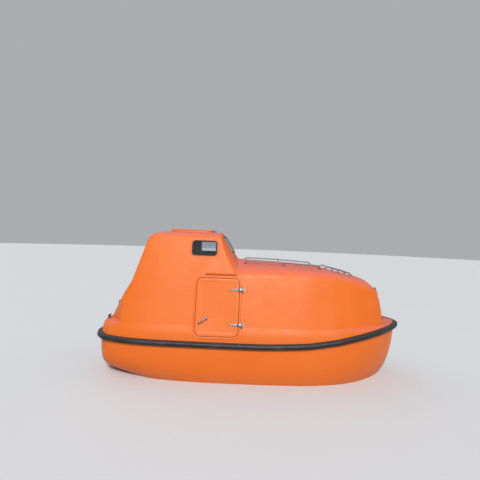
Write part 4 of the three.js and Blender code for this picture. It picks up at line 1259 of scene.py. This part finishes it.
class LIFEBOAT_OT_canopy(bpy.types.Operator):
    """Canopy moulding with its raised rims and openings"""

    bl_idname = "lifeboat.canopy"
    bl_label = "Canopy"

    def execute(self, context):
        lines = canopy_lines()
        outer = canopy_skin(lines, 0.0, (STERN, STEM))
        inner = canopy_skin(lines, CANOPY_WALL, CANOPY_INSIDE)
        piece = new_object("canopy_moulding", shell(outer, inner))
        rims, holes = [], []
        for matrix, size, depth, paired in OPENINGS:
            outline = opening_outline(size)
            rim = placed(band(outline, rim_profile(size, depth)), matrix)
            hole = placed(plate(outline, HOLE["from"], HOLE["to"], 0.0005, 2), matrix)
            rims += [rim, mirrored(rim)] if paired else [rim]
            holes += [hole, mirrored(hole)] if paired else [hole]
        boolean(piece, combine(*rims), "UNION")
        boolean(piece, combine(*holes), "DIFFERENCE")
        settle(piece, ["orange_gelcoat", "liner_gelcoat"], nodes=["canopy"])
        paint_inside(piece, self.inside)
        return {"FINISHED"}

    @staticmethod
    def inside(centres, normals):
        """Faces that look towards a line along the middle of the cabin, short of its ends."""
        x, y, z = centres.T
        middle, half_line, margin = 0.8, 1.9, 0.010
        from_line = np.stack([x - np.clip(x, -half_line, half_line), y, z - middle], -1)
        towards = (normals * from_line).sum(1)
        return (towards < -0.02) & (x > CANOPY_INSIDE[0] + margin) & (x < CANOPY_INSIDE[1] - margin)


class LIFEBOAT_OT_fender(bpy.types.Operator):
    """Rubber fender round the rail"""

    bl_idname = "lifeboat.fender"
    bl_label = "Fender"

    def execute(self, context):
        plan, height = self.route()
        along = np.gradient(plan, axis=0)
        along /= np.linalg.norm(along, axis=1, keepdims=True)
        out = np.stack([-along[:, 1], along[:, 0]], -1)
        out[0], out[-1] = (-1, 0), (1, 0)
        section = self.section(context.scene.lifeboat_sizes)
        away = plan[:, None] + out[:, None] * section[None, :, :1]
        up = height[:, None, None] + section[None, :, 1:]
        rings = np.concatenate([away, up], 2)
        rings[..., 0] = np.clip(rings[..., 0], CAD_BOX[0][0], CAD_BOX[1][0])
        port = capped(rings)
        for side, shape in (("port", port), ("starboard", mirrored(port))):
            add_piece(f"fender_{side}_looks", shape, "fender_rubber", nodes=[f"fender_{side}"])
        return {"FINISHED"}

    def route(self):
        """Way round the port half of the rail, seen from above, and its heights."""
        x = STERN + (STEM - STERN) * (0.5 - 0.5 * np.cos(np.linspace(0, math.pi, 170)))
        beam, rail, _, _ = smooth_rows(HULL_LINES, x)
        transom = np.array([[STERN, 0.0005], [STERN, 0.20], [STERN, 0.42]])
        side = np.stack([x, beam], -1)
        corner, after_corner = side[0], side[4]
        curve = fillet(transom[-1], corner, after_corner, 0.05, 9)
        plan = np.vstack([transom, curve, side[4:], [[STEM, 0.0005]]])
        return plan, np.interp(plan[:, 0], x, rail)

    def section(self, sizes):
        """D section, as distance from the rail and height: a round crown between two flat lips."""
        half, depth = sizes.fender_half, sizes.fender_depth
        turn = np.linspace(-math.pi / 2, math.pi / 2, 15)
        crown = np.stack([depth * (0.45 + 0.55 * np.cos(turn) ** 0.8), half * 0.93 * np.sin(turn)], -1)
        lip = np.array([[0.0005, -half], [0.010, -half], [0.013, -half * 0.93]])
        return np.vstack([lip, crown, lip[::-1] * (1, -1)])


class LIFEBOAT_OT_doors(bpy.types.Operator):
    """Side doors with seals, hinges and levers"""

    bl_idname = "lifeboat.doors"
    bl_label = "Side doors"

    def execute(self, context):
        bodies = ("side_door_starboard", "side_door_port")
        bolt = context.scene.lifeboat_sizes.bolt
        outline = opening_outline(DOOR, 12)
        panel = placed(capped(lifted(outline, self.panel_profile())), DOOR_FRAME)
        add_pair("door_panel", panel, "orange_gelcoat", ["door"], bodies)
        seal_ring = placed(band(outline, self.seal_profile()), DOOR_FRAME)
        add_pair("door_seal", seal_ring, "seal_rubber")
        straps = combine(*(self.strap(height, bolt) for height in HINGE["heights"]))
        add_pair("door_hinge", straps, "stainless", ["door_strap_lower", "door_strap_upper"], bodies)
        brackets = combine(*(self.bracket(height, bolt * 0.9) for height in HINGE["heights"]))
        add_pair("door_bracket", brackets, "stainless", ["door_bracket_lower", "door_bracket_upper"])
        add_pair("door_lever", self.lever(), "stainless", ["door_lever"], bodies)
        return {"FINISHED"}

    def panel_profile(self):
        """Panel: rounded edges inside its gap, and a field set back by a shallow step."""
        proud = DOOR["proud"]
        back = [[-0.060, DOOR_INNER]]
        edge = rounded_edge(DOOR_INNER, proud, 0.005) - (DOOR_GAP, 0)
        step = [[-0.052, proud], [-0.056, proud - 0.0006], [-0.061, proud - 0.0024], [-0.066, proud - 0.003]]
        return np.vstack([back, edge, step])

    def seal_profile(self):
        """Seal in the gap round the panel, with bevelled shoulders."""
        outer, inner, foot = -0.0003, -0.0052, -0.020
        shoulder, top = DOOR["proud"] - 0.008, DOOR["proud"] - 0.006
        return [
            (inner, foot), (inner, shoulder), (-0.0035, top),
            (-0.0018, top), (outer, shoulder), (outer, foot),
        ]

    def strap(self, height, bolt):
        """Strap on the door: cranked out to its knuckle, tapering to its tail, with bolts and the pin."""
        low, out = DOOR["proud"] + SEAM, HINGE["out"]
        tail, half, thick = -0.212, 0.022, 0.006
        high = low + thick
        side = rounded_path([
            (0.000, out + 0.004), (-0.058, out + 0.004), (-0.072, high), (tail, high),
            (tail, low), (-0.068, low), (-0.062, out - 0.005), (0.000, out - 0.005),
        ], 0.006, 4)
        points, faces = extruded(free_outline(side), -half, half, 0.0015)
        points[:, 1] *= np.interp(points[:, 0], (tail, tail + 0.012, -0.070), (0.30, 0.48, 1.0))
        on_pin = face_frame((0, 0, out), (1, 0, 0), (0, 0, -1))
        knuckle = placed(rod(-half, half, 0.0105), on_pin)
        pin = placed(rod(-half - 0.014, half + 0.014, 0.006), on_pin)
        bolts = [bolt_head((x, 0, high), bolt) for x in (-0.188, -0.140, -0.094)]
        return placed(combine((points, faces), knuckle, pin, *bolts), side_frame(HINGE["x"], height))

    def bracket(self, height, bolt):
        """Bracket on the canopy: base plate, two round-headed lugs, the pin's heads and bolts."""
        out = HINGE["out"]
        half, near, far, head = 0.012, 0.0227, 0.034, 0.005
        plate_top = 0.005
        base = plate(rounded_rectangle(0.050, 0.072, 0.008), -0.004, plate_top, 0.0015)
        parts = [placed(base, shift(0.003, 0, 0))]
        outline = lug_outline(half, half, out, 0.002, 13)
        for end in (-1, 1):
            parts.append(extruded(outline, *sorted((end * near, end * far)), 0.0012))
            on_pin = face_frame((0, end * (far - 0.0002), out), (1, 0, 0), (0, 0, -end))
            parts.append(placed(rod(0, head, 0.009, 0.002), on_pin))
        parts += [bolt_head((0.020, y, plate_top), bolt) for y in (-0.024, 0.024)]
        return placed(combine(*parts), side_frame(HINGE["x"], height))

    def lever(self):
        """Lever: a turned boss on a round plate, and a slim arm that lifts clear of the door."""
        low = DOOR["proud"] + SEAM
        (from_x, from_z), (to_x, to_z) = LEVER["from"], LEVER["to"]
        slope_per_height = 1.03
        reach = np.array([from_x - to_x, (from_z - to_z) * slope_per_height, 0])
        rose_top = low + 0.005
        rose = turned([
            (AXIS, low), (0.026, low), (0.026, low + 0.003), (0.023, rose_top), (AXIS, rose_top),
        ])
        boss = turned([
            (AXIS, low + 0.001), (0.019, low + 0.001), (0.018, low + 0.012), (0.015, low + 0.018),
            (0.017, low + 0.026), (0.016, low + 0.034), (0.012, low + 0.037), (AXIS, low + 0.037),
        ])
        stops = ((0, 0.027), (0.25, 0.027), (0.45, 0.034), (0.90, 0.032))
        arm = rounded_path([reach * share + (0, 0, low + lift) for share, lift in stops], 0.03)
        circle = 0.021
        bolts = [
            bolt_head((circle * math.cos(angle), circle * math.sin(angle), rose_top), 0.0025)
            for angle in (0.6, 2.1, 3.7, 5.3)
        ]
        return placed(combine(rose, boss, tube(arm, 0.0088), *bolts), side_frame(to_x, to_z))


class LIFEBOAT_OT_windows(bpy.types.Operator):
    """Window panes in their black seals"""

    bl_idname = "lifeboat.windows"
    bl_label = "Windows"

    def execute(self, context):
        self.window("window_side", SIDE_WINDOW_FRAME, SIDE_WINDOW, True)
        self.window("window_front", FRONT_WINDOW_FRAME, FRONT_WINDOW, True)
        self.window("window_aft", AFT_WINDOW_FRAME, AFT_WINDOW, False)
        return {"FINISHED"}

    def window(self, name, matrix, size, paired):
        """Pane set in the opening, and a rounded seal that laps over pane and rim."""
        outline = opening_outline(size, 10)
        high = size["proud"]
        low = high - PANE
        pane_profile = rounded_edge(low, high, 0.001, 3) - (SEAM, 0)
        pane = placed(capped(lifted(outline, pane_profile)), matrix)
        wide = bpy.context.scene.lifeboat_sizes.gasket
        angle = np.linspace(0, math.pi, 9)
        crown = np.stack([-np.cos(angle) * wide, high + 0.0005 + 0.0045 * np.sin(angle) ** 0.7], -1)
        outer = np.vstack([crown, [[wide, high - 0.001], [-wide, high - 0.001]]])
        lining = [(-0.010, low - 0.006), (-0.010, low - 0.0005), (0.0, low - 0.0005), (0.0, low - 0.006)]
        seals = placed(combine(band(outline, outer), band(outline, lining)), matrix)
        if paired:
            add_pair(f"{name}_pane", pane, "window_glass", [name], angle=15)
            add_pair(f"{name}_seal", seals, "seal_rubber")
        else:
            add_piece(f"{name}_pane_looks", pane, "window_glass", nodes=[name], angle=15)
            add_piece(f"{name}_seal_looks", seals, "seal_rubber")


class LIFEBOAT_OT_hatches(bpy.types.Operator):
    """Hatch lids with their seals, hinges and catches"""

    bl_idname = "lifeboat.hatches"
    bl_label = "Hatches"

    def execute(self, context):
        self.hatch("fore_hatch", FORE_HATCH_FRAME, FORE_HATCH, 0.130)
        self.hatch("aft_hatch", AFT_HATCH_FRAME, AFT_HATCH, 0.170)
        self.hatch("roof_hatch", ROOF_HATCH_FRAME, ROOF_HATCH, 0.210)
        return {"FINISHED"}

    def hatch(self, name, matrix, size, spacing):
        """Lid with a raised field, its two hinges and the lugs that carry them."""
        body = f"{name}_lid"
        low = size["proud"] + LID["gap"]
        high = low + LID["thickness"]
        edge_top = high - 0.006
        outline = opening_outline(size, 12)
        lid = placed(capped(lifted(outline, self.lid_profile(low, high, edge_top))), matrix)
        add_piece(f"{name}_lid_looks", lid, "orange_gelcoat", body, [name])
        edge_y = size["height"] / 2 + LID["over"]
        axis = (edge_y + LID["hinge_out"], low + LID["thickness"] / 2)
        leaves, lugs = [], []
        for x in (-spacing, spacing):
            leaves += self.leaf(x, axis, edge_top)
            lugs += self.lugs(x, axis)
        foot = edge_top - 0.0008
        catch = turned([
            (AXIS, 0), (0.020, 0), (0.020, 0.003), (0.010, 0.005), (0.009, 0.0068), (AXIS, 0.0068),
        ], 20)
        leaves.append(placed(catch, shift(0, 0.030 - edge_y, foot)))
        add_piece(f"{name}_hinge_looks", placed(combine(*leaves), matrix), "stainless", body)
        add_piece(f"{name}_lugs_looks", placed(combine(*lugs), matrix), "stainless")
        lip = placed(band(outline, self.lip_profile(low)), matrix)
        add_piece(f"{name}_seal_looks", lip, "seal_rubber")

    def lid_profile(self, low, high, edge_top):
        """Lid: a rounded edge, and a field raised above it by a soft step."""
        over = LID["over"]
        edge = rounded_edge(low, edge_top, 0.006) + (over, 0)
        step = [
            (over - 0.040, high - 0.0055), (over - 0.046, high - 0.004),
            (over - 0.050, high - 0.001), (over - 0.054, high),
        ]
        return np.vstack([[(-0.05, low)], edge, step])

    def lip_profile(self, low):
        """Seal under the lid: a lip with rounded shoulders."""
        foot, shoulder, top = low - 0.0125, low - 0.0025, low - 0.0004
        return [
            (-0.014, foot), (-0.014, shoulder), (-0.010, top),
            (-0.004, top), (-0.0004, shoulder), (-0.0004, foot),
        ]

    def leaf(self, x, axis, edge_top):
        """Hinge leaf on the lid, with its knuckle, pin and bolts."""
        axis_y, axis_z = axis
        on_pin = shift(x, axis_y, axis_z) @ face_frame((0, 0, 0), (0, 1, 0), (0, 0, 1))
        knuckle = placed(rod(-0.020, 0.020, 0.0108), on_pin)
        pin = placed(rod(-0.042, 0.042, 0.0055), on_pin)
        flat = plate(rounded_rectangle(0.040, 0.090, 0.004, 4), 0, 0.004, 0.001)
        flat = placed(flat, shift(x, axis_y - 0.047, edge_top - 0.0008))
        bolts = [bolt_head((x, axis_y - away, edge_top + 0.0014), 0.0042) for away in (0.055, 0.078)]
        return [knuckle, pin, flat, *bolts]

    def lugs(self, x, axis):
        """The two lugs that carry a hinge's pin."""
        axis_y, axis_z = axis
        near, far = 0.0207, 0.0387
        outline = lug_outline(0.0115, 0.0095, axis_z, -0.02, 11)
        spans = ((x - far, x - near), (x + near, x + far))
        return [placed(extruded(outline, *span, order=(2, 0, 1)), shift(0, axis_y, 0)) for span in spans]


class LIFEBOAT_OT_deck(bpy.types.Operator):
    """Deck rails, gutters, cleats and release hooks"""

    bl_idname = "lifeboat.deck"
    bl_label = "Deck fittings"

    def execute(self, context):
        for name, (height, feet) in DECK_RAILS.items():
            rail = self.deck_rail(height, feet)
            add_pair(f"deck_rail_{name}", rail, "stainless", [f"deck_rail_{name}"])
        add_pair("gutter", self.gutter(), "orange_gelcoat", ["gutter"])
        add_pair("cleat", self.cleat(), "stainless", ["cleat"])
        for name, (x, facing) in HOOKS.items():
            refined(f"hook_base_{name}", 0.003, "stainless")
            self.hook(name, x, facing)
        return {"FINISHED"}

    def deck_rail(self, height, feet):
        """Tube that follows the deck, its ends leaning down to the outer feet, on round flanges."""
        radius, lean, sunk = DECK_RAIL["radius"], DECK_RAIL["lean"], (0, 0, 0.010)
        x, y = np.array(feet).T
        foot = np.stack([x, -y, top_height(x, y)], -1)
        over = x + lean * np.sign(x.mean() - x) * np.isin(x, (x[0], x[-1]))
        top = np.stack([over, -y, top_height(over, y) + height], -1)
        run = np.vstack([foot[:1] - sunk, top, foot[-1:] - sunk])
        parts = [tube(rounded_path(run, 0.028), radius)]
        for low, high in zip(foot[1:-1], top[1:-1]):
            parts.append(tube([low - sunk, high], radius * 0.8, 12, False))
        flange = turned([
            (AXIS, -0.008), (0.024, -0.008), (0.024, 0.002), (0.021, 0.0045), (0.014, 0.006), (AXIS, 0.006),
        ])
        bolts = [bolt_head((x, 0, 0.004), 0.0028) for x in (-0.018, 0.018)]
        parts += [placed(combine(flange, *bolts), deck_frame(*place[:2])) for place in foot]
        return combine(*parts)

    def gutter(self):
        """Rain gutter: a lip moulded on the side, its channel on top and its underside sloping back."""
        (start, end), out, up, down = GUTTER["x"], GUTTER["out"], GUTTER["up"], GUTTER["down"]
        root, channel = -0.004, up - 0.006
        section = rounded_path([
            (root, -down), (0.009, -down), (out, up - 0.009), (out, up),
            (out - 0.007, up), (out - 0.012, channel), (root, channel),
        ], 0.004, 5)
        half = (end - start) / 2
        lip = extruded(free_outline(section), -half, half, 0.002, 4, (2, 1, 0))
        return placed(lip, side_frame((start + end) / 2, GUTTER["z"]))

    def cleat(self):
        """Horn cleat: base, two legs and a bar whose horns taper and lift."""
        top, half_length, lift, thick = 0.044, 0.080, 0.006, 0.0115
        foot = plate(rounded_rectangle(0.110, 0.040, 0.014), -0.004, 0.008, 0.003)
        leg = turned([
            (AXIS, 0.0), (0.015, 0.0), (0.012, 0.012), (0.0105, 0.03), (0.0105, top), (AXIS, top),
        ], 20)
        legs = [placed(leg, shift(x, 0, 0.004)) for x in (-0.028, 0.028)]
        share = np.linspace(-1, 1, 33)
        path = np.stack([half_length * share, 0 * share, top + lift * share ** 4], -1)
        radius = thick * np.sqrt(np.clip(1 - np.abs(share) ** 5, 0.02, 1))
        turn = turns(16)
        ring = np.stack([0 * turn, np.cos(turn), np.sin(turn)], -1)
        bar = capped(path[:, None] + radius[:, None, None] * ring[None])
        bolts = [bolt_head((x, 0, 0.008), 0.0055) for x in (-0.045, 0.045)]
        place = (CLEAT["x"], CLEAT["y"], ledge_height(CLEAT["x"]))
        return placed(combine(foot, *legs, bar, *bolts), face_frame(place, (0, 1, 0), (-1, 0, 0)))

    def hook(self, name, x, facing):
        """Release hook on its pin: a smooth cast outline with rounded edges, drawn in millimetres."""
        drawn = np.array([
            [-26, -24], [-38, 10], [-36, 60], [-20, 88], [8, 98], [34, 88], [46, 62], [40, 40], [30, 44],
            [28, 62], [14, 72], [0, 68], [-8, 52], [-4, 34], [10, 24], [26, 8], [24, -18], [8, -30],
        ]) / 1000
        pin = ledge_height(x) + HOOK_PIN
        outline = free_outline(smooth_loop(drawn * (facing, 1) + (x, pin), 4))
        cheek = extruded(outline, -0.011, 0.011, 0.003, 4)
        axle = placed(rod(-0.048, 0.048, 0.010), face_frame((x, 0, pin), (1, 0, 0), (0, 0, -1)))
        body = f"{name}_release_hook"
        add_piece(f"hook_{name}_looks", combine(cheek, axle), "stainless", body, [f"hook_{name}"])


class LIFEBOAT_OT_stern_gear(bpy.types.Operator):
    """Propeller, shaft, nozzle, keel shoe and bilge rails"""

    bl_idname = "lifeboat.stern_gear"
    bl_label = "Stern gear"

    def execute(self, context):
        on_shaft = fore_and_aft(PROPELLER_X, 0, SHAFT_HEIGHT)
        self.propeller(on_shaft)
        self.nozzle(on_shaft)
        bore, outside, aft, fore = 0.0170, 0.031, 0.252, 0.590
        stern_tube = turned_ring([
            (bore, aft), (outside - 0.002, aft), (outside, aft + 0.004), (outside, fore), (bore, fore),
        ], 32)
        add_piece("stern_tube_looks", placed(stern_tube, on_shaft), "bronze", nodes=["stern_tube"])
        refined("keel_shoe", 0.003, "stainless")
        add_pair("bilge_rail", self.bilge_rail(), "stainless", ["bilge_rail"])
        return {"FINISHED"}

    def propeller(self, on_shaft):
        """Four blades on a hub with a fairing cap.

        A blade's chord swells along its radius as a half sine, its section is a thin lens, and each
        section is turned to the pitch at its radius.
        """
        root, tip, pitch_length, blades = 0.020, 0.1495, 0.260, 4
        hub = turned([
            (AXIS, -0.0615), (0.012, -0.0612), (0.022, -0.052), (0.031, -0.038), (0.032, -0.034),
            (0.032, 0.036), (0.029, 0.0415), (0.016, 0.042), (0.016, 0.548), (AXIS, 0.550),
        ], 36)
        share = np.linspace(0, 1, 20)[:, None]
        radius = root + share * (tip - root)
        swell = np.sin(math.pi * np.minimum(share * 0.62 + 0.2, 0.97))
        round_tip = np.sqrt(np.clip(1 - share ** 8, 0.05, 1))
        half_chord = (0.022 + 0.040 * swell) * round_tip
        half_thick = 0.0052 - 0.0034 * share
        turn = turns(24)[None]
        chord = half_chord * np.cos(turn)
        side = half_thick * np.sin(turn)
        pitch = np.arctan(pitch_length / (2 * math.pi * radius))
        axial = chord * np.sin(pitch) + side * np.cos(pitch)
        around = np.clip((chord * np.cos(pitch) - side * np.sin(pitch)) / radius, -1.1, 1.1)
        parts = [hub]
        for angle in (around + number * 2 * math.pi / blades for number in range(blades)):
            parts.append(capped(np.stack([radius * np.sin(angle), radius * np.cos(angle), axial], -1)))
        add_piece("propeller_looks", placed(combine(*parts), on_shaft), "bronze", "screw", ["propeller"])

    def nozzle(self, on_shaft):
        """Ring with a foil section, its fin, stock and pintle."""
        foil = smooth_loop([
            (0.172, -0.080), (0.184, -0.066), (0.191, -0.010), (0.191, 0.036), (0.186, 0.070),
            (0.176, 0.080), (0.168, 0.062), (0.1655, 0.030), (0.1655, -0.030), (0.168, -0.066),
        ], 5)
        ring = placed(turned_ring(foil, 64), on_shaft)
        fin = plate(rounded_rectangle(0.158, 0.344, 0.02), -0.007, 0.007, 0.005)
        fin = placed(fin, centre_plane(PROPELLER_X - 0.151, SHAFT_HEIGHT))
        stock_radius, pintle_radius = 0.0198, 0.0118
        bars = (
            (-0.097, 0.140, stock_radius),
            (-0.510, -0.443, stock_radius),
            (-0.550, -0.444, pintle_radius),
        )
        bars = [placed(rod(*bar), upright(PROPELLER_X)) for bar in bars]
        parts = combine(ring, fin, *bars)
        add_piece("steering_nozzle_looks", parts, "stainless", "nozzle", ["steering_nozzle"])

    def bilge_rail(self):
        """Tube along the turn of the bilge whose ends bend up into the hull, with two feet between."""
        y, feet, radius, out = (BILGE_RAIL[key] for key in ("y", "feet", "radius", "out"))
        x = np.array(feet)
        line = np.stack([x, 0 * x - y - out * 0.6, bottom_height(x, y) - out * 0.8], -1)
        root = line + (0, out * 0.84, out * 1.12)
        run = rounded_path(np.vstack([root[:1], line, root[-1:]]), 0.035)
        between = [tube([line[k], root[k]], radius * 0.85, 14, False) for k in range(1, len(feet) - 1)]
        return combine(tube(run, radius, 16), *between)


class LIFEBOAT_OT_cabin(bpy.types.Operator):
    """Sole, benches, bulkhead, helm and engine"""

    bl_idname = "lifeboat.cabin"
    bl_label = "Cabin"

    def execute(self, context):
        edges = {
            "cabin_sole": 0.002,
            "engine_bulkhead": 0.003,
            "helm_platform": 0.004,
            "bench_starboard": 0.008,
            "bench_port": 0.008,
            "helm_console": 0.010,
        }
        for node, width in edges.items():
            refined(node, width, "liner_gelcoat")
        refined("engine", 0.025, "engine_paint")
        self.wheel()
        self.chair()
        self.instruments()
        return {"FINISHED"}

    def wheel(self):
        """Rim of round section, three spokes and a hub on a column."""
        radius, grip, lean = 0.160, 0.0105, 0.45
        around = turns(14)
        rim = turned_ring(np.stack([radius + grip * np.cos(around), grip * np.sin(around)], -1), 72)
        parts = [rim]
        for angle in (0.5, 2.6, 4.7):
            end = np.array([math.cos(angle), math.sin(angle), 0]) * (radius - 0.002)
            spoke = rounded_path([end * 0.1, end * 0.4 + (0, 0, 0.010), end], 0.03)
            parts.append(tube(spoke, 0.0075))
        hub = rod(-0.022, 0.022, 0.032, 0.006)
        column = rod(0.0, 0.130, 0.0135)
        wheel = combine(*parts, hub, column)
        matrix = face_frame((-1.262, 0, 1.480), (0, 1, 0), (math.sin(lean), 0, math.cos(lean)))
        add_piece("helm_wheel_looks", placed(wheel, matrix), "black_plastic", "helm", ["helm_wheel"])

    def chair(self):
        """Pedestal chair: floor plate, column, moulded seat and back."""
        floor, top = PLATFORM_HEIGHT + SEAM, 1.192
        base = turned([
            (AXIS, floor), (0.125, floor), (0.125, floor + 0.010), (0.115, floor + 0.018),
            (0.045, floor + 0.030), (0.038, floor + 0.050), (0.038, top - 0.007), (0.060, top), (AXIS, top),
        ], 36)
        base = placed(base, shift(-1.570, 0, 0))
        seat = pad((-1.560, 0, 1.218), (1, 0, 0), (0, 1, 0), 0.320, 0.400, 0.050, 0.070)
        back = pad((-1.765, 0, 1.460), (0, 1, 0), (-0.16, 0, 1), 0.400, 0.440, 0.045, 0.080)
        arms = []
        for y in (-0.12, 0.12):
            arm = rounded_path([(-1.62, y, 1.205), (-1.735, y, 1.215), (-1.768, y, 1.33)], 0.05)
            arms.append(tube(arm, 0.010))
        add_piece("helm_chair_looks", combine(base, seat, back, *arms), "black_plastic", nodes=["helm_chair"])

    def instruments(self):
        """Compass, dials and throttle on the console's sloping top."""
        low, high = np.array([-1.190, 0, 1.380]), np.array([-1.090, 0, 1.600])
        on_slope = face_frame(low + (high - low) * 0.62, (0, -1, 0), high - low)
        dial_rows = [on_slope @ shift(x, 0.02, 0) for x in (-0.19, -0.12, 0.12, 0.19)]
        inner, outer, top = 0.026, 0.033, 0.008
        bezel = turned_ring([
            (inner, -0.002), (outer - 0.001, -0.002), (outer, 0.004), (outer - 0.003, top), (inner, top),
        ])
        face_radius = inner + 0.0002
        face = turned([(AXIS, -0.001), (face_radius, -0.001), (face_radius, 0.004), (AXIS, 0.004)])
        angle = np.linspace(0, math.pi / 2, 9)
        dome = np.stack([0.055 * np.cos(angle), 0.014 + 0.045 * np.sin(angle)], -1)
        compass = turned(np.vstack([[(AXIS, 0), (0.062, 0), (0.062, 0.012)], dome]), 40)
        compass = placed(compass, shift(-1.050, 0, 1.5995))
        grip = (0, 0.06, 0.045)
        lever = tube(rounded_path([(0, 0, 0), (0, 0.03, 0.035), grip], 0.02), 0.005)
        knob = turned([(AXIS, -0.013), (0.012, -0.006), (0.012, 0.006), (AXIS, 0.013)])
        throttle = placed(combine(lever, placed(knob, shift(*grip))), on_slope @ shift(0.19, -0.065, 0))
        bezels = [placed(bezel, matrix) for matrix in dial_rows]
        faces = [placed(face, matrix) for matrix in dial_rows]
        add_piece("helm_instruments", combine(*bezels, compass, throttle), "black_plastic")
        add_piece("helm_dials", combine(*faces), "dial_face")


class LIFEBOAT_OT_stage(bpy.types.Operator):
    """Floor at the waterline, soft lights and the camera"""

    bl_idname = "lifeboat.stage"
    bl_label = "Stage"

    def execute(self, context):
        studio = context.scene.lifeboat_studio
        self.floor()
        self.camera(context.scene, studio)
        self.surround(context.scene, studio.sky)
        self.sun(context.scene, "key", studio.key, 11, (-0.5, 8.0, -5.5))
        self.sun(context.scene, "fill", studio.fill, 70, (5.0, -4.0, -5.0))
        return {"FINISHED"}

    def floor(self):
        """Flat ring from the hull's waterline to a wide circle, with straight rays between the two."""
        starboard, port = waterline(90)
        inner = np.vstack([starboard, port[::-1]])
        angle = np.arctan2(inner[:, 1] / 0.4, inner[:, 0])
        outer = FLOOR_RADIUS * np.stack([np.cos(angle), np.sin(angle)], -1)
        share = np.linspace(0, 1, 12)[:, None, None] ** 3
        plan = inner[None] * (1 - share) + outer[None] * share
        points = np.concatenate([plan, np.zeros(plan.shape[:2] + (1,))], 2)
        floor = new_object("floor", grid(points, wrap=True))
        floor.data.materials.append(finish_of("studio_floor"))

    def camera(self, scene, studio):
        """Camera on the starboard side at eye height, looking a little up, with the picture's slight lean."""
        data = bpy.data.cameras.new("camera")
        data.lens = studio.lens
        data.sensor_width = 36
        data.shift_y = -0.053
        data.clip_end = 500
        camera = bpy.data.objects.new("camera", data)
        look = Matrix.Rotation(math.pi / 2 + studio.pitch, 4, "X")
        lean = Matrix.Rotation(studio.roll, 4, "Z")
        camera.matrix_world = Matrix.Translation(studio.camera) @ look @ lean
        scene.collection.objects.link(camera)
        scene.camera = camera

    def surround(self, scene, strength):
        """Pale surround that lights every side, with colours shown as they are."""
        world = bpy.data.worlds.new("studio")
        world.use_nodes = True
        background = world.node_tree.nodes["Background"]
        background.inputs["Color"].default_value = (0.90, 0.93, 0.97, 1)
        background.inputs["Strength"].default_value = strength
        scene.world = world
        scene.view_settings.view_transform = "Standard"

    def sun(self, scene, name, strength, spread, way):
        """Light that shines along a way, as soft as its spread in degrees."""
        data = bpy.data.lights.new(name, "SUN")
        data.energy = strength
        data.angle = math.radians(spread)
        light = bpy.data.objects.new(name, data)
        light.matrix_world = Matrix(look_along(way).tolist())
        scene.collection.objects.link(light)


PIECES = (
    LIFEBOAT_OT_stage,
    LIFEBOAT_OT_hull,
    LIFEBOAT_OT_canopy,
    LIFEBOAT_OT_fender,
    LIFEBOAT_OT_doors,
    LIFEBOAT_OT_windows,
    LIFEBOAT_OT_hatches,
    LIFEBOAT_OT_deck,
    LIFEBOAT_OT_stern_gear,
    LIFEBOAT_OT_cabin,
)


class LIFEBOAT_PT_panel(bpy.types.Panel):
    """Sizes, colours and pieces of the lifeboat"""

    bl_idname = "LIFEBOAT_PT_panel"
    bl_label = "Lifeboat"
    bl_space_type = "VIEW_3D"
    bl_region_type = "UI"
    bl_category = "Lifeboat"

    def draw(self, context):
        for group_name in GROUPS:
            group = getattr(context.scene, group_name)
            box = self.layout.box()
            for name in group.__annotations__:
                box.prop(group, name)
        for piece in PIECES:
            self.layout.operator(piece.bl_idname)


GROUPS = {
    "lifeboat_sizes": LifeboatSizes,
    "lifeboat_colours": LifeboatColours,
    "lifeboat_studio": LifeboatStudio,
}


def register():
    for name, group in GROUPS.items():
        bpy.utils.register_class(group)
        setattr(bpy.types.Scene, name, bpy.props.PointerProperty(type=group))
    for piece in (*PIECES, LIFEBOAT_PT_panel):
        bpy.utils.register_class(piece)


def unregister():
    for piece in (LIFEBOAT_PT_panel, *reversed(PIECES)):
        bpy.utils.unregister_class(piece)
    for name, group in reversed(GROUPS.items()):
        delattr(bpy.types.Scene, name)
        bpy.utils.unregister_class(group)


def main():
    """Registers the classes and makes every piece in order."""
    register()
    for piece in PIECES:
        group, name = piece.bl_idname.split(".")
        getattr(getattr(bpy.ops, group), name)()


if __name__ == "__main__":
    main()
